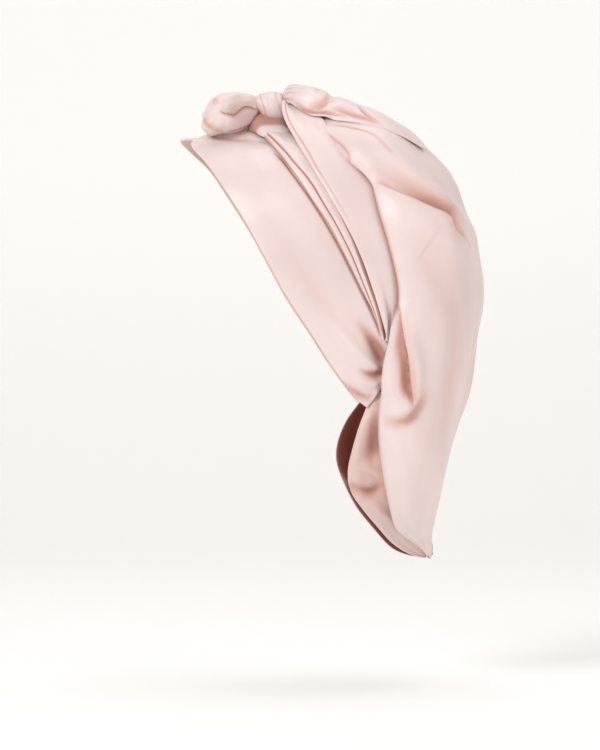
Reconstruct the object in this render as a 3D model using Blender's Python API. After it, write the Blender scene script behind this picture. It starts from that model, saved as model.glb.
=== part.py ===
"""Satin sleep bonnet with a knotted tie, shaped as it sits on a head.

The face opening looks along -X, +Z is up, and the origin is where the crown of the head sits.
Cloth pieces are patches worked out from short tables. A table holds its lengths as shares:
"back" of DEPTH from the foremost point, "down" of DROP from the top of the knot,
"out" of HALF_WIDTH from the middle plane, positive towards the wearer's left side (-Y).
"""

import math

import bpy
import numpy as np

# Driving sizes, in metres
DEPTH = 0.218  # forehead edge to the back of the bag
DROP = 0.340  # top of the knot to the tip of the bag
HALF_WIDTH = 0.086  # middle plane to the fullest side of the bag
SEAT_BACK = 0.0878  # forehead edge to the crown of the head
SEAT_DOWN = 0.0299  # top of the knot to the crown of the head
WALL = 0.0016  # doubled satin
PANEL_WALL = 0.0014  # doubled satin of the nape panel
PLY_GAP = 0.0006  # clear space between two cloths that lie on each other
BAND_CROWN = 0.0028  # how far the band bows out between its edges
PLEAT_STEP = 0.0013  # height of one pleat over the cloth below it
PLEAT_TURN = 0.0012  # length over which a pleat's folded edge rises
STRAP_CROWN = 0.0026  # how far a side strap puffs out between its edges
EDGE_ROLL = 0.014  # distance from the bag's rolled edge at which it is full
FOLD_RISE = 0.0075  # height of the bag's tallest fold
KNOT_LENGTH = 0.0212  # along the tie
KNOT_HEIGHT = 0.0285
KNOT_WIDTH = 0.0270
LOOP_THICK = 0.0066  # radius of the front loop's rolled strap, seen from the side
LOOP_WIDE = 0.0120  # radius of the same roll from left to right
KNOT_BASE_WIDTH = 0.0235  # of the cloth folded round under the knot, along the tie
CLOTH_GAP = 0.0006  # least clear space between two pieces of cloth that touch
EDGE_NEAR = 0.0020  # beyond a lower cloth's edge, how far it still lifts what lies on it in full
EDGE_FADE = 0.0050  # and over what further length that lift fades out
LIFT_LIMIT = 0.0150  # cloths further apart than this don't touch

# Middle of the head, as shares of DEPTH and DROP
HEAD_BACK = 0.36
HEAD_DOWN = 0.34

# Grid counts of the patches
BAND_GRID = (24, 6)
PLEAT_GRID = (22, 7)
STRAP_GRID = (22, 6)
BAG_GRID = (38, 40)
PANEL_GRID = (30, 3)
DRAPE_GRID = (14, 12)
LOOP_GRID = (26, 10)
KNOT_BASE_GRID = (5, 15)
KNOT_GRID = (8, 16)

SATIN = (0.80, 0.62, 0.585, 1.0)
SATIN_ROUGHNESS = 0.42

BAND_COLUMNS = ("front_back", "front_down", "front_out", "rear_back", "rear_down", "rear_out")
BAND_ROWS = (
    (0.275, 0.108, 0.017, 0.350, 0.113, 0.015),
    (0.215, 0.104, 0.014, 0.345, 0.115, 0.110),
    (0.145, 0.104, 0.014, 0.325, 0.119, 0.190),
    (0.080, 0.112, 0.022, 0.298, 0.126, 0.270),
    (0.048, 0.130, 0.110, 0.290, 0.132, 0.370),
    (0.072, 0.152, 0.310, 0.297, 0.138, 0.440),
    (0.108, 0.179, 0.500, 0.316, 0.148, 0.510),
    (0.159, 0.228, 0.698, 0.361, 0.178, 0.658),
    (0.214, 0.283, 0.808, 0.409, 0.221, 0.748),
    (0.256, 0.329, 0.855, 0.448, 0.256, 0.796),
    (0.304, 0.386, 0.872, 0.492, 0.302, 0.831),
    (0.349, 0.439, 0.872, 0.531, 0.345, 0.848),
    (0.397, 0.488, 0.860, 0.566, 0.390, 0.858),
    (0.444, 0.533, 0.843, 0.598, 0.437, 0.864),
    (0.492, 0.582, 0.814, 0.626, 0.478, 0.862),
    (0.541, 0.627, 0.779, 0.652, 0.519, 0.850),
    (0.583, 0.662, 0.744, 0.668, 0.564, 0.818),
    (0.618, 0.681, 0.721, 0.662, 0.634, 0.760),
)
# On the wearer's right the band comes further over the forehead.
RIGHT_BAND_REACH = 0.030  # share of DEPTH
RIGHT_BAND_PEAK = 4  # row of the table at which it reaches furthest

# The two narrow pleats run from the first pleat's folded edge to the side strap's front edge;
# "second_pleat" is where the second one starts, a share of the way. "full" flattens them at the knot.
PLEAT_COLUMNS = (
    "first_back", "first_down", "first_out", "strap_back", "strap_down", "strap_out",
    "second_pleat", "full",
)
PLEAT_ROWS = (
    (0.292, 0.119, 0.270, 0.372, 0.119, 0.260, 0.12, 0.20),
    (0.300, 0.126, 0.390, 0.382, 0.124, 0.380, 0.12, 0.50),
    (0.322, 0.140, 0.520, 0.403, 0.137, 0.490, 0.13, 0.90),
    (0.351, 0.171, 0.645, 0.435, 0.169, 0.610, 0.15, 1.00),
    (0.387, 0.202, 0.725, 0.461, 0.197, 0.690, 0.17, 1.00),
    (0.422, 0.233, 0.780, 0.489, 0.229, 0.760, 0.17, 1.00),
    (0.457, 0.265, 0.820, 0.517, 0.264, 0.807, 0.20, 1.00),
    (0.492, 0.302, 0.848, 0.545, 0.303, 0.842, 0.30, 1.00),
    (0.527, 0.341, 0.865, 0.572, 0.341, 0.865, 0.40, 1.00),
    (0.559, 0.382, 0.877, 0.597, 0.384, 0.880, 0.55, 1.00),
    (0.585, 0.425, 0.883, 0.617, 0.423, 0.885, 0.60, 0.90),
    (0.617, 0.466, 0.883, 0.639, 0.464, 0.887, 0.60, 0.80),
    (0.645, 0.503, 0.877, 0.658, 0.505, 0.881, 0.60, 0.70),
    (0.662, 0.540, 0.860, 0.671, 0.542, 0.863, 0.60, 0.60),
)

STRAP_COLUMNS = ("front_back", "front_down", "front_out", "rear_back", "rear_down", "rear_out", "puff")
STRAP_ROWS = (
    (0.351, 0.054, 0.120, 0.372, 0.048, 0.095, 0.1),
    (0.364, 0.090, 0.300, 0.430, 0.068, 0.240, 0.5),
    (0.403, 0.135, 0.490, 0.494, 0.104, 0.395, 0.8),
    (0.435, 0.169, 0.610, 0.552, 0.152, 0.525, 1.0),
    (0.461, 0.197, 0.690, 0.596, 0.186, 0.620, 1.0),
    (0.489, 0.229, 0.760, 0.641, 0.226, 0.700, 1.0),
    (0.517, 0.264, 0.807, 0.672, 0.264, 0.764, 1.0),
    (0.545, 0.303, 0.842, 0.691, 0.301, 0.812, 1.0),
    (0.572, 0.341, 0.865, 0.709, 0.345, 0.850, 0.9),
    (0.597, 0.384, 0.880, 0.722, 0.384, 0.872, 0.7),
    (0.617, 0.423, 0.885, 0.728, 0.423, 0.885, 0.5),
    (0.639, 0.464, 0.887, 0.728, 0.466, 0.888, 0.3),
    (0.658, 0.505, 0.878, 0.709, 0.507, 0.875, 0.2),
    (0.671, 0.542, 0.855, 0.688, 0.544, 0.855, 0.1),
)

BAG_COLUMNS = (
    "edge_back", "edge_down", "edge_out", "spine_back", "spine_down", "half_width", "squareness",
)
BAG_ROWS = (
    (0.345, 0.120, 0.200, 0.352, 0.118, 0.215, 2.0),
    (0.396, 0.115, 0.285, 0.425, 0.084, 0.300, 2.0),
    (0.464, 0.113, 0.410, 0.520, 0.059, 0.450, 2.0),
    (0.535, 0.128, 0.500, 0.630, 0.066, 0.560, 2.1),
    (0.585, 0.170, 0.622, 0.760, 0.104, 0.720, 2.2),
    (0.632, 0.224, 0.765, 0.885, 0.187, 0.830, 2.3),
    (0.664, 0.302, 0.875, 0.940, 0.274, 0.930, 2.4),
    (0.696, 0.380, 0.940, 0.984, 0.363, 0.985, 2.4),
    (0.712, 0.454, 0.968, 1.000, 0.448, 1.000, 2.4),
    (0.682, 0.534, 0.968, 0.992, 0.537, 1.005, 2.4),
    (0.656, 0.636, 0.818, 0.966, 0.643, 0.971, 2.3),
    (0.655, 0.728, 0.758, 0.928, 0.736, 0.919, 2.3),
    (0.669, 0.811, 0.680, 0.885, 0.821, 0.837, 2.3),
    (0.690, 0.884, 0.570, 0.852, 0.897, 0.709, 2.2),
    (0.733, 0.940, 0.400, 0.836, 0.956, 0.500, 2.1),
    (0.782, 0.976, 0.190, 0.829, 0.984, 0.260, 2.0),
    (0.812, 0.992, 0.020, 0.826, 0.996, 0.030, 2.0),
)

# Folds of the bag: a row for each place along the fold. "rise" is a share of FOLD_RISE, and
# "reach" the distance across the fold over which it dies away, a share of HALF_WIDTH.
FOLD_COLUMNS = ("back", "down", "out", "rise", "reach")
FOLD_ROWS = {
    "shoulder_ridge": (
        (0.600, 0.118, 0.450, 0.0, 0.10),
        (0.690, 0.145, 0.600, 0.5, 0.12),
        (0.760, 0.192, 0.660, 0.9, 0.13),
        (0.825, 0.236, 0.640, 1.0, 0.13),
        (0.891, 0.275, 0.500, 0.9, 0.14),
        (0.950, 0.315, 0.200, 0.5, 0.16),
        (0.975, 0.350, 0.000, 0.0, 0.16),
    ),
    "shoulder_valley": (
        (0.660, 0.200, 0.720, 0.0, 0.10),
        (0.746, 0.241, 0.740, -0.9, 0.09),
        (0.805, 0.262, 0.700, -1.5, 0.09),
        (0.851, 0.283, 0.640, -1.4, 0.09),
        (0.905, 0.320, 0.450, -0.6, 0.11),
        (0.945, 0.350, 0.300, 0.0, 0.12),
    ),
    "lobe_top": (
        (0.640, 0.229, 0.780, 0.0, 0.08),
        (0.690, 0.244, 0.800, 0.6, 0.08),
        (0.745, 0.262, 0.800, 0.8, 0.09),
        (0.803, 0.284, 0.760, 0.9, 0.10),
        (0.860, 0.312, 0.680, 0.8, 0.12),
        (0.917, 0.350, 0.500, 0.0, 0.14),
    ),
    "side_pocket": (
        (0.736, 0.490, 0.960, 0.0, 0.05),
        (0.744, 0.545, 0.965, -0.7, 0.06),
        (0.746, 0.600, 0.955, -0.9, 0.07),
        (0.738, 0.660, 0.930, 0.0, 0.08),
    ),
    "back_fold_right": (
        (0.860, 0.200, -0.350, 0.0, 0.16),
        (0.940, 0.330, -0.450, 0.7, 0.18),
        (0.950, 0.480, -0.480, 0.9, 0.20),
        (0.930, 0.620, -0.420, 0.6, 0.20),
        (0.900, 0.760, -0.300, 0.0, 0.20),
    ),
    "back_valley": (
        (0.930, 0.270, 0.050, 0.0, 0.14),
        (0.980, 0.400, -0.080, -0.5, 0.16),
        (0.985, 0.540, -0.100, -0.7, 0.18),
        (0.950, 0.690, -0.060, -0.5, 0.18),
        (0.890, 0.830, 0.000, 0.0, 0.16),
    ),
    "right_shoulder_valley": (
        (0.650, 0.190, -0.720, 0.0, 0.10),
        (0.740, 0.250, -0.740, -0.8, 0.11),
        (0.810, 0.320, -0.740, -1.2, 0.12),
        (0.860, 0.420, -0.700, -0.8, 0.13),
        (0.880, 0.520, -0.650, 0.0, 0.14),
    ),
    "right_lobe_ridge": (
        (0.680, 0.290, -0.880, 0.0, 0.12),
        (0.740, 0.380, -0.940, 0.7, 0.13),
        (0.770, 0.500, -0.950, 0.8, 0.14),
        (0.760, 0.640, -0.900, 0.5, 0.15),
        (0.740, 0.780, -0.800, 0.0, 0.14),
    ),
}

PANEL_COLUMNS = ("hem_back", "hem_down", "hem_out", "rear_back", "rear_down", "rear_out")
PANEL_ROWS = (
    (0.632, 0.655, 0.695, 0.690, 0.648, 0.745),
    (0.613, 0.690, 0.700, 0.701, 0.680, 0.750),
    (0.594, 0.724, 0.692, 0.704, 0.718, 0.740),
    (0.573, 0.770, 0.668, 0.708, 0.767, 0.712),
    (0.560, 0.811, 0.630, 0.715, 0.811, 0.662),
    (0.567, 0.853, 0.565, 0.722, 0.849, 0.585),
    (0.608, 0.894, 0.470, 0.740, 0.886, 0.475),
    (0.658, 0.933, 0.345, 0.765, 0.920, 0.335),
    (0.703, 0.966, 0.188, 0.787, 0.948, 0.174),
    (0.738, 0.982, 0.000, 0.795, 0.960, 0.000),
    (0.707, 0.983, -0.180, 0.790, 0.950, -0.174),
    (0.651, 0.946, -0.340, 0.774, 0.922, -0.335),
    (0.595, 0.902, -0.475, 0.750, 0.888, -0.475),
    (0.552, 0.849, -0.578, 0.735, 0.853, -0.585),
    (0.528, 0.804, -0.640, 0.728, 0.811, -0.662),
    (0.532, 0.761, -0.675, 0.722, 0.767, -0.712),
    (0.559, 0.717, -0.692, 0.714, 0.718, -0.740),
    (0.592, 0.685, -0.690, 0.705, 0.680, -0.750),
    (0.625, 0.656, -0.669, 0.694, 0.648, -0.745),
)

DRAPE_COLUMNS = (
    "near_back", "near_down", "near_out", "crest_back", "crest_down", "crest_out",
    "far_back", "far_down", "far_out",
)
DRAPE_ROWS = (
    (0.3690, 0.046, 0.080, 0.3690, 0.026, 0.000, 0.3690, 0.045, -0.085),
    (0.420, 0.066, 0.190, 0.420, -0.001, -0.020, 0.420, 0.060, -0.230),
    (0.486, 0.079, 0.300, 0.486, 0.012, -0.030, 0.486, 0.066, -0.330),
    (0.545, 0.087, 0.390, 0.540, 0.027, -0.010, 0.545, 0.064, -0.300),
    (0.610, 0.095, 0.450, 0.610, 0.047, 0.060, 0.610, 0.062, -0.150),
    (0.675, 0.105, 0.480, 0.672, 0.068, 0.180, 0.672, 0.074, 0.000),
    (0.730, 0.119, 0.465, 0.726, 0.092, 0.290, 0.722, 0.096, 0.130),
    (0.776, 0.136, 0.415, 0.776, 0.118, 0.330, 0.772, 0.118, 0.240),
    (0.800, 0.146, 0.375, 0.801, 0.138, 0.350, 0.800, 0.137, 0.320),
)

FRONT_LOOP_COLUMNS = ("back", "down", "out", "thick", "wide")
FRONT_LOOP_ROWS = (
    (0.2530, 0.038, 0.030, 0.66, 0.48),
    (0.225, 0.039, 0.060, 1.00, 0.85),
    (0.170, 0.041, 0.090, 1.18, 1.02),
    (0.118, 0.052, 0.110, 1.12, 1.05),
    (0.112, 0.075, 0.140, 1.10, 1.05),
    (0.155, 0.086, 0.170, 1.22, 1.00),
    (0.210, 0.081, 0.150, 1.02, 0.85),
    (0.2520, 0.067, 0.060, 0.60, 0.48),
)
# The two turns of the front loop press flat on each other along this line.
LOOP_CREASE = ((0.150, 0.067), (0.280, 0.049))  # (share of DEPTH, share of DROP)
LOOP_SLIT = 0.0008  # clear space between the two turns

# Cross section of the cloth under the knot, from its left end to its right end
KNOT_BASE_COLUMNS = ("out", "top_down", "under_down")
KNOT_BASE_ROWS = (
    (0.345, 0.118, 0.122),
    (0.315, 0.106, 0.116),
    (0.260, 0.088, 0.112),
    (0.205, 0.079, 0.108),
    (0.160, 0.086, 0.106),
    (0.105, 0.095, 0.105),
    (0.000, 0.0955, 0.104),
    (-0.105, 0.095, 0.105),
    (-0.160, 0.087, 0.106),
    (-0.210, 0.081, 0.108),
    (-0.260, 0.090, 0.112),
    (-0.315, 0.107, 0.116),
    (-0.345, 0.118, 0.122),
)
KNOT_BASE_BACK = 0.302  # its middle, a share of DEPTH

KNOT_BACK = 0.3135  # middle of the knot, a share of DEPTH
KNOT_MID_DOWN = 0.0512  # the same, a share of DROP


def place(back, down, out):
    """Turns shares of the driving sizes into points. Works on single values and on whole arrays."""
    back, down, out = np.broadcast_arrays(back, down, out)
    return np.stack([back * DEPTH - SEAT_BACK, -out * HALF_WIDTH, SEAT_DOWN - down * DROP], axis=-1)


def smooth_columns(names, rows, count):
    """Reads a table at evenly spaced places, on a smooth curve that passes through its rows."""
    table = np.array(rows, float)
    along = np.linspace(0, len(rows) - 1, count)
    index = np.clip(along.astype(int), 0, len(rows) - 2)
    t = (along - index)[:, None]
    first = 2 * table[:1] - table[1:2]
    last = 2 * table[-1:] - table[-2:-1]
    padded = np.concatenate([first, table, last])
    a, b, c, d = (padded[index + step] for step in range(4))
    value = b + 0.5 * t * (c - a + t * (2 * a - 5 * b + 4 * c - d + t * (3 * (b - c) + d - a)))
    return {name: value[:, k] for k, name in enumerate(names)}


def unit(vectors):
    return vectors / np.maximum(np.linalg.norm(vectors, axis=-1, keepdims=True), 1e-12)


def normals_of(grid):
    """Unit normals of a patch, from the directions of its rows and columns."""
    return unit(np.cross(np.gradient(grid, axis=0), np.gradient(grid, axis=1)))


def finer(grid, times=3):
    """The same patch with straight-line points added between its own."""
    for axis in (0, 1):
        count = grid.shape[axis]
        along = np.linspace(0, count - 1, (count - 1) * times + 1)
        index = np.minimum(along.astype(int), count - 2)
        share = np.expand_dims(along - index, tuple(k for k in range(3) if k != axis))
        grid = np.take(grid, index, axis) * (1 - share) + np.take(grid, index + 1, axis) * share
    return grid


def rest_on(grid, below, gap=CLOTH_GAP):
    """Lifts a patch wherever it is less than a gap over the patches below it.

    Height over a lower patch is measured along the normal at its nearest point. Beyond the lower
    patch's edge the lift fades out over EDGE_FADE.
    """
    for under in below + below:
        under = finer(under)
        points, outward = under.reshape(-1, 3), normals_of(under).reshape(-1, 3)
        flat = grid.reshape(-1, 3)
        nearest = np.array([((points - one) ** 2).sum(-1).argmin() for one in flat])
        offset = flat - points[nearest]
        height = (offset * outward[nearest]).sum(-1)
        beside = np.linalg.norm(offset - height[:, None] * outward[nearest], axis=-1)
        near = 1 - quarter_turn((beside - EDGE_NEAR) / EDGE_FADE)
        near = np.where(np.abs(height) < LIFT_LIMIT, near, 0)
        lift = np.clip(gap - height, 0, None) * near
        grid = grid + (outward[nearest] * lift[:, None]).reshape(grid.shape)
    return grid


def quarter_turn(share):
    """Rises smoothly from 0 to 1 as share goes from 0 to 1, and stays there."""
    share = np.clip(share, 0, 1)
    return share * share * (3 - 2 * share)


def mirrored(grid):
    """The same patch on the other side of the middle plane, still facing outwards."""
    return (grid * np.array([1, -1, 1]))[:, ::-1]


def satin():
    material = bpy.data.materials.new("satin")
    material.use_nodes = True
    shader = material.node_tree.nodes["Principled BSDF"]
    shader.inputs["Base Color"].default_value = SATIN
    shader.inputs["Roughness"].default_value = SATIN_ROUGHNESS
    shader.inputs["Metallic"].default_value = 0.0
    return material


def add_object(name, points, faces):
    mesh = bpy.data.meshes.new(name)
    mesh.from_pydata(points.tolist(), [], faces)
    mesh.validate()
    mesh.shade_smooth()
    node = bpy.data.objects.new(name, mesh)
    bpy.context.scene.collection.objects.link(node)
    material = satin()
    material.name = name + "_satin"
    mesh.materials.append(material)
    return node


def cloth(name, outer, inner):
    """One closed solid between two patches of the same size, with a strip along each of the four edges."""
    rows, columns = outer.shape[:2]
    number = np.arange(rows * columns).reshape(rows, columns)
    below = number + rows * columns
    a, b = number[:-1, :-1], number[1:, :-1]
    c, d = number[1:, 1:], number[:-1, 1:]
    top = np.stack([a, b, c, d], axis=-1).reshape(-1, 4)
    bottom = top[:, ::-1] + rows * columns
    rim = np.concatenate([number[:, 0], number[-1, 1:], number[-2::-1, -1], number[0, -2:0:-1]])
    under = np.concatenate([below[:, 0], below[-1, 1:], below[-2::-1, -1], below[0, -2:0:-1]])
    side = np.stack([rim, under, np.roll(under, -1), np.roll(rim, -1)], axis=-1)
    faces = np.concatenate([top, bottom, side])
    points = np.concatenate([outer.reshape(-1, 3), inner.reshape(-1, 3)])
    return add_object(name, points, faces.tolist())


def tube(name, rings):
    """One closed solid through rings of points, with a flat cap at each end."""
    count, around = rings.shape[:2]
    number = np.arange(count * around).reshape(count, around)
    after = np.roll(number, -1, axis=1)
    side = np.stack([number[:-1], after[:-1], after[1:], number[1:]], axis=-1).reshape(-1, 4)
    faces = side.tolist() + [number[0, ::-1].tolist(), number[-1].tolist()]
    return add_object(name, rings.reshape(-1, 3), faces)


def bowed(front, rear, columns, crown):
    """Cloth drawn from a front edge to a rear edge, bowed away from the middle of the head."""
    share = np.linspace(0, 1, columns)[None, :, None]
    flat = front[:, None] * (1 - share) + rear[:, None] * share
    head_middle = place(HEAD_BACK, HEAD_DOWN, 0.0)
    reach = np.linalg.norm(rear - front, axis=-1)[:, None, None]
    full = np.clip(reach / reach.max(), 0, 1) ** 2
    return flat + unit(flat - head_middle) * crown * full * 6.75 * share * (1 - share) ** 2


def band_patch(side):
    """The wide band of one side: smooth cloth from the forehead edge to the pleats."""
    table = smooth_columns(BAND_COLUMNS, BAND_ROWS, BAND_GRID[0])
    reach = 0.0
    if side == "right":
        along = np.linspace(0, len(BAND_ROWS) - 1, BAND_GRID[0])
        after = np.where(along > RIGHT_BAND_PEAK, 2.0, 1.0) * RIGHT_BAND_PEAK
        reach = RIGHT_BAND_REACH * quarter_turn(1 - np.abs(along - RIGHT_BAND_PEAK) / after)
    front = place(table["front_back"] - reach, table["front_down"] - reach / 3, table["front_out"])
    rear = place(table["rear_back"], table["rear_down"], table["rear_out"])
    return bowed(front, rear, BAND_GRID[1], BAND_CROWN)


def pleat_patch():
    """The two narrow pleats of one side: a flat patch, and the height of every column over it."""
    table = smooth_columns(PLEAT_COLUMNS, PLEAT_ROWS, PLEAT_GRID[0])
    first = place(table["first_back"], table["first_down"], table["first_out"])
    strap = place(table["strap_back"], table["strap_down"], table["strap_out"])
    second = first + (strap - first) * table["second_pleat"][:, None]
    stops = []
    for start, end in ((first, second), (second, strap)):
        run = np.linalg.norm(end - start, axis=-1)[:, None]
        stops.append(start)
        stops.append(start + unit(end - start) * np.minimum(PLEAT_TURN, 0.3 * run))
        stops.append(start + (end - start) * 0.86)
    stops.append(strap)
    steps = np.array([0.0, 1.0, 1.0, 1.0, 2.0, 2.0, 2.0])
    lift = PLY_GAP + WALL / 2 + steps * PLEAT_STEP * table["full"][:, None]
    return np.stack(stops, axis=1), lift


def strap_patch():
    """The side strap: a wide tail of the tie that lies over the pleats and closes at the nape."""
    table = smooth_columns(STRAP_COLUMNS, STRAP_ROWS, STRAP_GRID[0])
    front = place(table["front_back"], table["front_down"], table["front_out"])
    rear = place(table["rear_back"], table["rear_down"], table["rear_out"])
    share = np.linspace(0, 1, STRAP_GRID[1])[None, :]
    flat = front[:, None] * (1 - share[..., None]) + rear[:, None] * share[..., None]
    over_pleats = 2 * PLY_GAP + WALL / 2 + 2 * PLEAT_STEP
    lift = PLY_GAP + over_pleats * (1 - share) ** 2
    return flat, lift + STRAP_CROWN * table["puff"][:, None] * 4 * share * (1 - share)


def lifted(grid, outward, lift):
    return grid + outward * np.broadcast_to(lift, grid.shape[:2])[..., None]


def sections(table, columns):
    """The bag's cross sections, each a U from the left edge round the spine to the right edge.

    Across a section the cloth follows a squared ellipse: it goes back as sin(turn) ** (2 / n) and
    out as cos(turn) ** (2 / n), where turn runs from 0 at the edge to a quarter turn at the spine.
    """
    turn = np.linspace(-1, 1, columns)[None, :]
    quarter = (1 - np.abs(turn)) * math.pi / 2
    power = 2 / table["squareness"][:, None]
    go_back = np.sin(quarter) ** power
    go_out = np.cos(quarter) ** power
    edge = place(table["edge_back"], table["edge_down"], 0.0)[:, None]
    spine = place(table["spine_back"], table["spine_down"], 0.0)[:, None]
    grid = edge + (spine - edge) * go_back[..., None]
    run = np.linalg.norm(spine - edge, axis=-1) * go_back
    tuck = (table["half_width"] - table["edge_out"])[:, None] * np.exp(-((run / EDGE_ROLL) ** 2))
    grid[..., 1] = np.sign(turn) * HALF_WIDTH * (table["half_width"][:, None] * go_out - tuck)
    return grid


def fold_lift(grid, outward, rows):
    """Height of one fold over every point of a patch: a rounded ridge or valley along a smooth line.

    The line is laid on the patch, each point takes its nearest place on it, and the height falls off
    as exp(-(distance across the fold / reach) ** 2).
    """
    line = smooth_columns(FOLD_COLUMNS, rows, 40)
    path = place(line["back"], line["down"], line["out"])
    flat = grid.reshape(-1, 3)
    weight = np.array([1.0, 0.4, 1.0])
    near = ((flat[None] - path[:, None]) * weight) ** 2
    path = flat[near.sum(-1).argmin(1)]
    for _ in range(12):
        path[1:-1] = (path[:-2] + 2 * path[1:-1] + path[2:]) / 4
    gap = np.linalg.norm(flat[:, None] - path[None], axis=-1)
    nearest = gap.argmin(1)
    reach = line["reach"][nearest] * HALF_WIDTH
    height = line["rise"][nearest] * FOLD_RISE * np.exp(-((gap.min(1) / reach) ** 2))
    return height.reshape(grid.shape[:2])


def bag_patch():
    """Outer face of the bag, with its main folds."""
    table = smooth_columns(BAG_COLUMNS, BAG_ROWS, BAG_GRID[0])
    grid = sections(table, BAG_GRID[1])
    outward = normals_of(grid)
    lift = sum(fold_lift(grid, outward, rows) for rows in FOLD_ROWS.values())
    return lifted(grid, outward, lift)


def drape_patch():
    """The rear loop of the tie, spread over the top of the bag: an arch from its left to its right edge."""
    table = smooth_columns(DRAPE_COLUMNS, DRAPE_ROWS, DRAPE_GRID[0])
    near = place(table["near_back"], table["near_down"], table["near_out"])[:, None]
    crest = place(table["crest_back"], table["crest_down"], table["crest_out"])[:, None]
    far = place(table["far_back"], table["far_down"], table["far_out"])[:, None]
    turn = np.linspace(0, math.pi, DRAPE_GRID[1])[None, :, None]
    across = (1 - np.cos(turn)) / 2
    base = near * (1 - across) + far * across
    return base + (crest - (near + far) / 2) * np.sin(turn)


def soft_tube(names, rows, thick, wide):
    """Rings of a rolled strap: ellipses square to its path, flat in the middle plane's direction."""
    table = smooth_columns(names, rows, LOOP_GRID[0])
    path = place(table["back"], table["down"], table["out"])
    along = unit(np.gradient(path, axis=0))
    sideways = np.array([0.0, 1.0, 0.0]) - along * along[:, 1:2]
    sideways = unit(sideways)
    up = np.cross(along, sideways)
    turn = np.linspace(0, 2 * math.pi, LOOP_GRID[1], endpoint=False)[None, :, None]
    flat = sideways[:, None] * np.cos(turn) * (table["wide"] * wide)[:, None, None]
    tall = up[:, None] * np.sin(turn) * (table["thick"] * thick)[:, None, None]
    return path[:, None] + flat + tall, path


def pressed_loop():
    """The front loop's rings, each turn flattened where it meets the other one."""
    rings, path = soft_tube(FRONT_LOOP_COLUMNS, FRONT_LOOP_ROWS, LOOP_THICK, LOOP_WIDE)
    (back, down), (back_end, down_end) = LOOP_CREASE
    start, end = place(back, down, 0.0), place(back_end, down_end, 0.0)
    share = (rings[..., 0] - start[0]) / (end[0] - start[0])
    crease = start[2] + share * (end[2] - start[2])
    upper = (path[:, 2] > place(0.0, (down + down_end) / 2, 0.0)[2])[:, None]
    kept = np.where(
        upper,
        np.maximum(rings[..., 2], crease + LOOP_SLIT / 2),
        np.minimum(rings[..., 2], crease - LOOP_SLIT / 2),
    )
    rings[..., 2] = np.where(share > 0, kept, rings[..., 2])
    return rings


def knot_rings():
    """The knot: a barrel of cloth round the tie, fullest in the middle of its length."""
    share = np.linspace(-1, 1, KNOT_GRID[0])
    full = 0.62 + 0.38 * np.sqrt(np.clip(1 - share**2, 0, 1))
    turn = np.linspace(0, 2 * math.pi, KNOT_GRID[1], endpoint=False)[None, :]
    middle = place(KNOT_BACK, KNOT_MID_DOWN, 0.0)
    x = middle[0] + np.broadcast_to(share[:, None] * KNOT_LENGTH / 2, (len(share), KNOT_GRID[1]))
    y = np.cos(turn) * full[:, None] * KNOT_WIDTH / 2
    z = middle[2] + np.sin(turn) * full[:, None] * KNOT_HEIGHT / 2
    return np.stack([x, y, z], axis=-1)


def band_faces():
    outer = band_patch("left")
    right = band_patch("right")
    return {
        "left": (outer, outer - normals_of(outer) * WALL),
        "right": tuple(mirrored(face) for face in (right, right - normals_of(right) * WALL)),
    }


def pleat_faces(side, band):
    flat, lift = pleat_patch()
    if side == "right":
        flat, lift = mirrored(flat), lift[:, ::-1]
    outward = unit(flat[:, 3:4] - place(HEAD_BACK, HEAD_DOWN, 0.0))
    inner = rest_on(lifted(flat, outward, PLY_GAP), [band])
    return lifted(inner, outward, lift + WALL / 2 - PLY_GAP), inner


def strap_faces(side, below):
    flat, lift = strap_patch()
    if side == "right":
        flat, lift = mirrored(flat), lift[:, ::-1]
    outward = unit(flat[:, 2:3] - place(HEAD_BACK, HEAD_DOWN, 0.0))
    inner = rest_on(lifted(flat, outward, lift), below, 2 * CLOTH_GAP)
    return inner + normals_of(inner) * WALL, inner


def knot_base_faces(below):
    """The cloth folded round under the knot, from one side to the other."""
    table = smooth_columns(KNOT_BASE_COLUMNS, KNOT_BASE_ROWS, KNOT_BASE_GRID[1])
    across = np.linspace(-1, 1, KNOT_BASE_GRID[0])[:, None]
    back = KNOT_BASE_BACK + across * KNOT_BASE_WIDTH / DEPTH / 2
    rounded = np.sqrt(np.clip(1 - (0.9 * across) ** 2, 0, 1))
    top = table["under_down"] + (table["top_down"] - table["under_down"]) * rounded
    outer = place(back, top, table["out"])
    inner = place(back, table["under_down"] + 0 * across, table["out"])
    rise = np.linalg.norm(rest_on(inner, below, 1.5 * CLOTH_GAP) - inner, axis=-1)
    rise = rise[..., None] * np.array([0, 0, 1])
    return outer + rise, inner + rise


def bag_faces(outer, below):
    inner = rest_on(outer - normals_of(outer) * WALL, below)
    return inner + normals_of(inner) * WALL, inner


def panel_faces():
    """The nape panel: one piece from the left band's end round the nape to the right band's end."""
    table = smooth_columns(PANEL_COLUMNS, PANEL_ROWS, PANEL_GRID[0])
    hem = place(table["hem_back"], table["hem_down"], table["hem_out"])[:, None]
    rear = place(table["rear_back"], table["rear_down"], table["rear_out"])[:, None]
    share = np.linspace(0, 1, PANEL_GRID[1])[None, :, None]
    outer = hem * (1 - share) + rear * share
    return outer, outer - normals_of(outer) * PANEL_WALL


def drape_faces(below):
    inner = rest_on(drape_patch() - np.array([0, 0, WALL]), below, 3 * CLOTH_GAP)
    return inner + normals_of(inner) * WALL, inner


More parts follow.
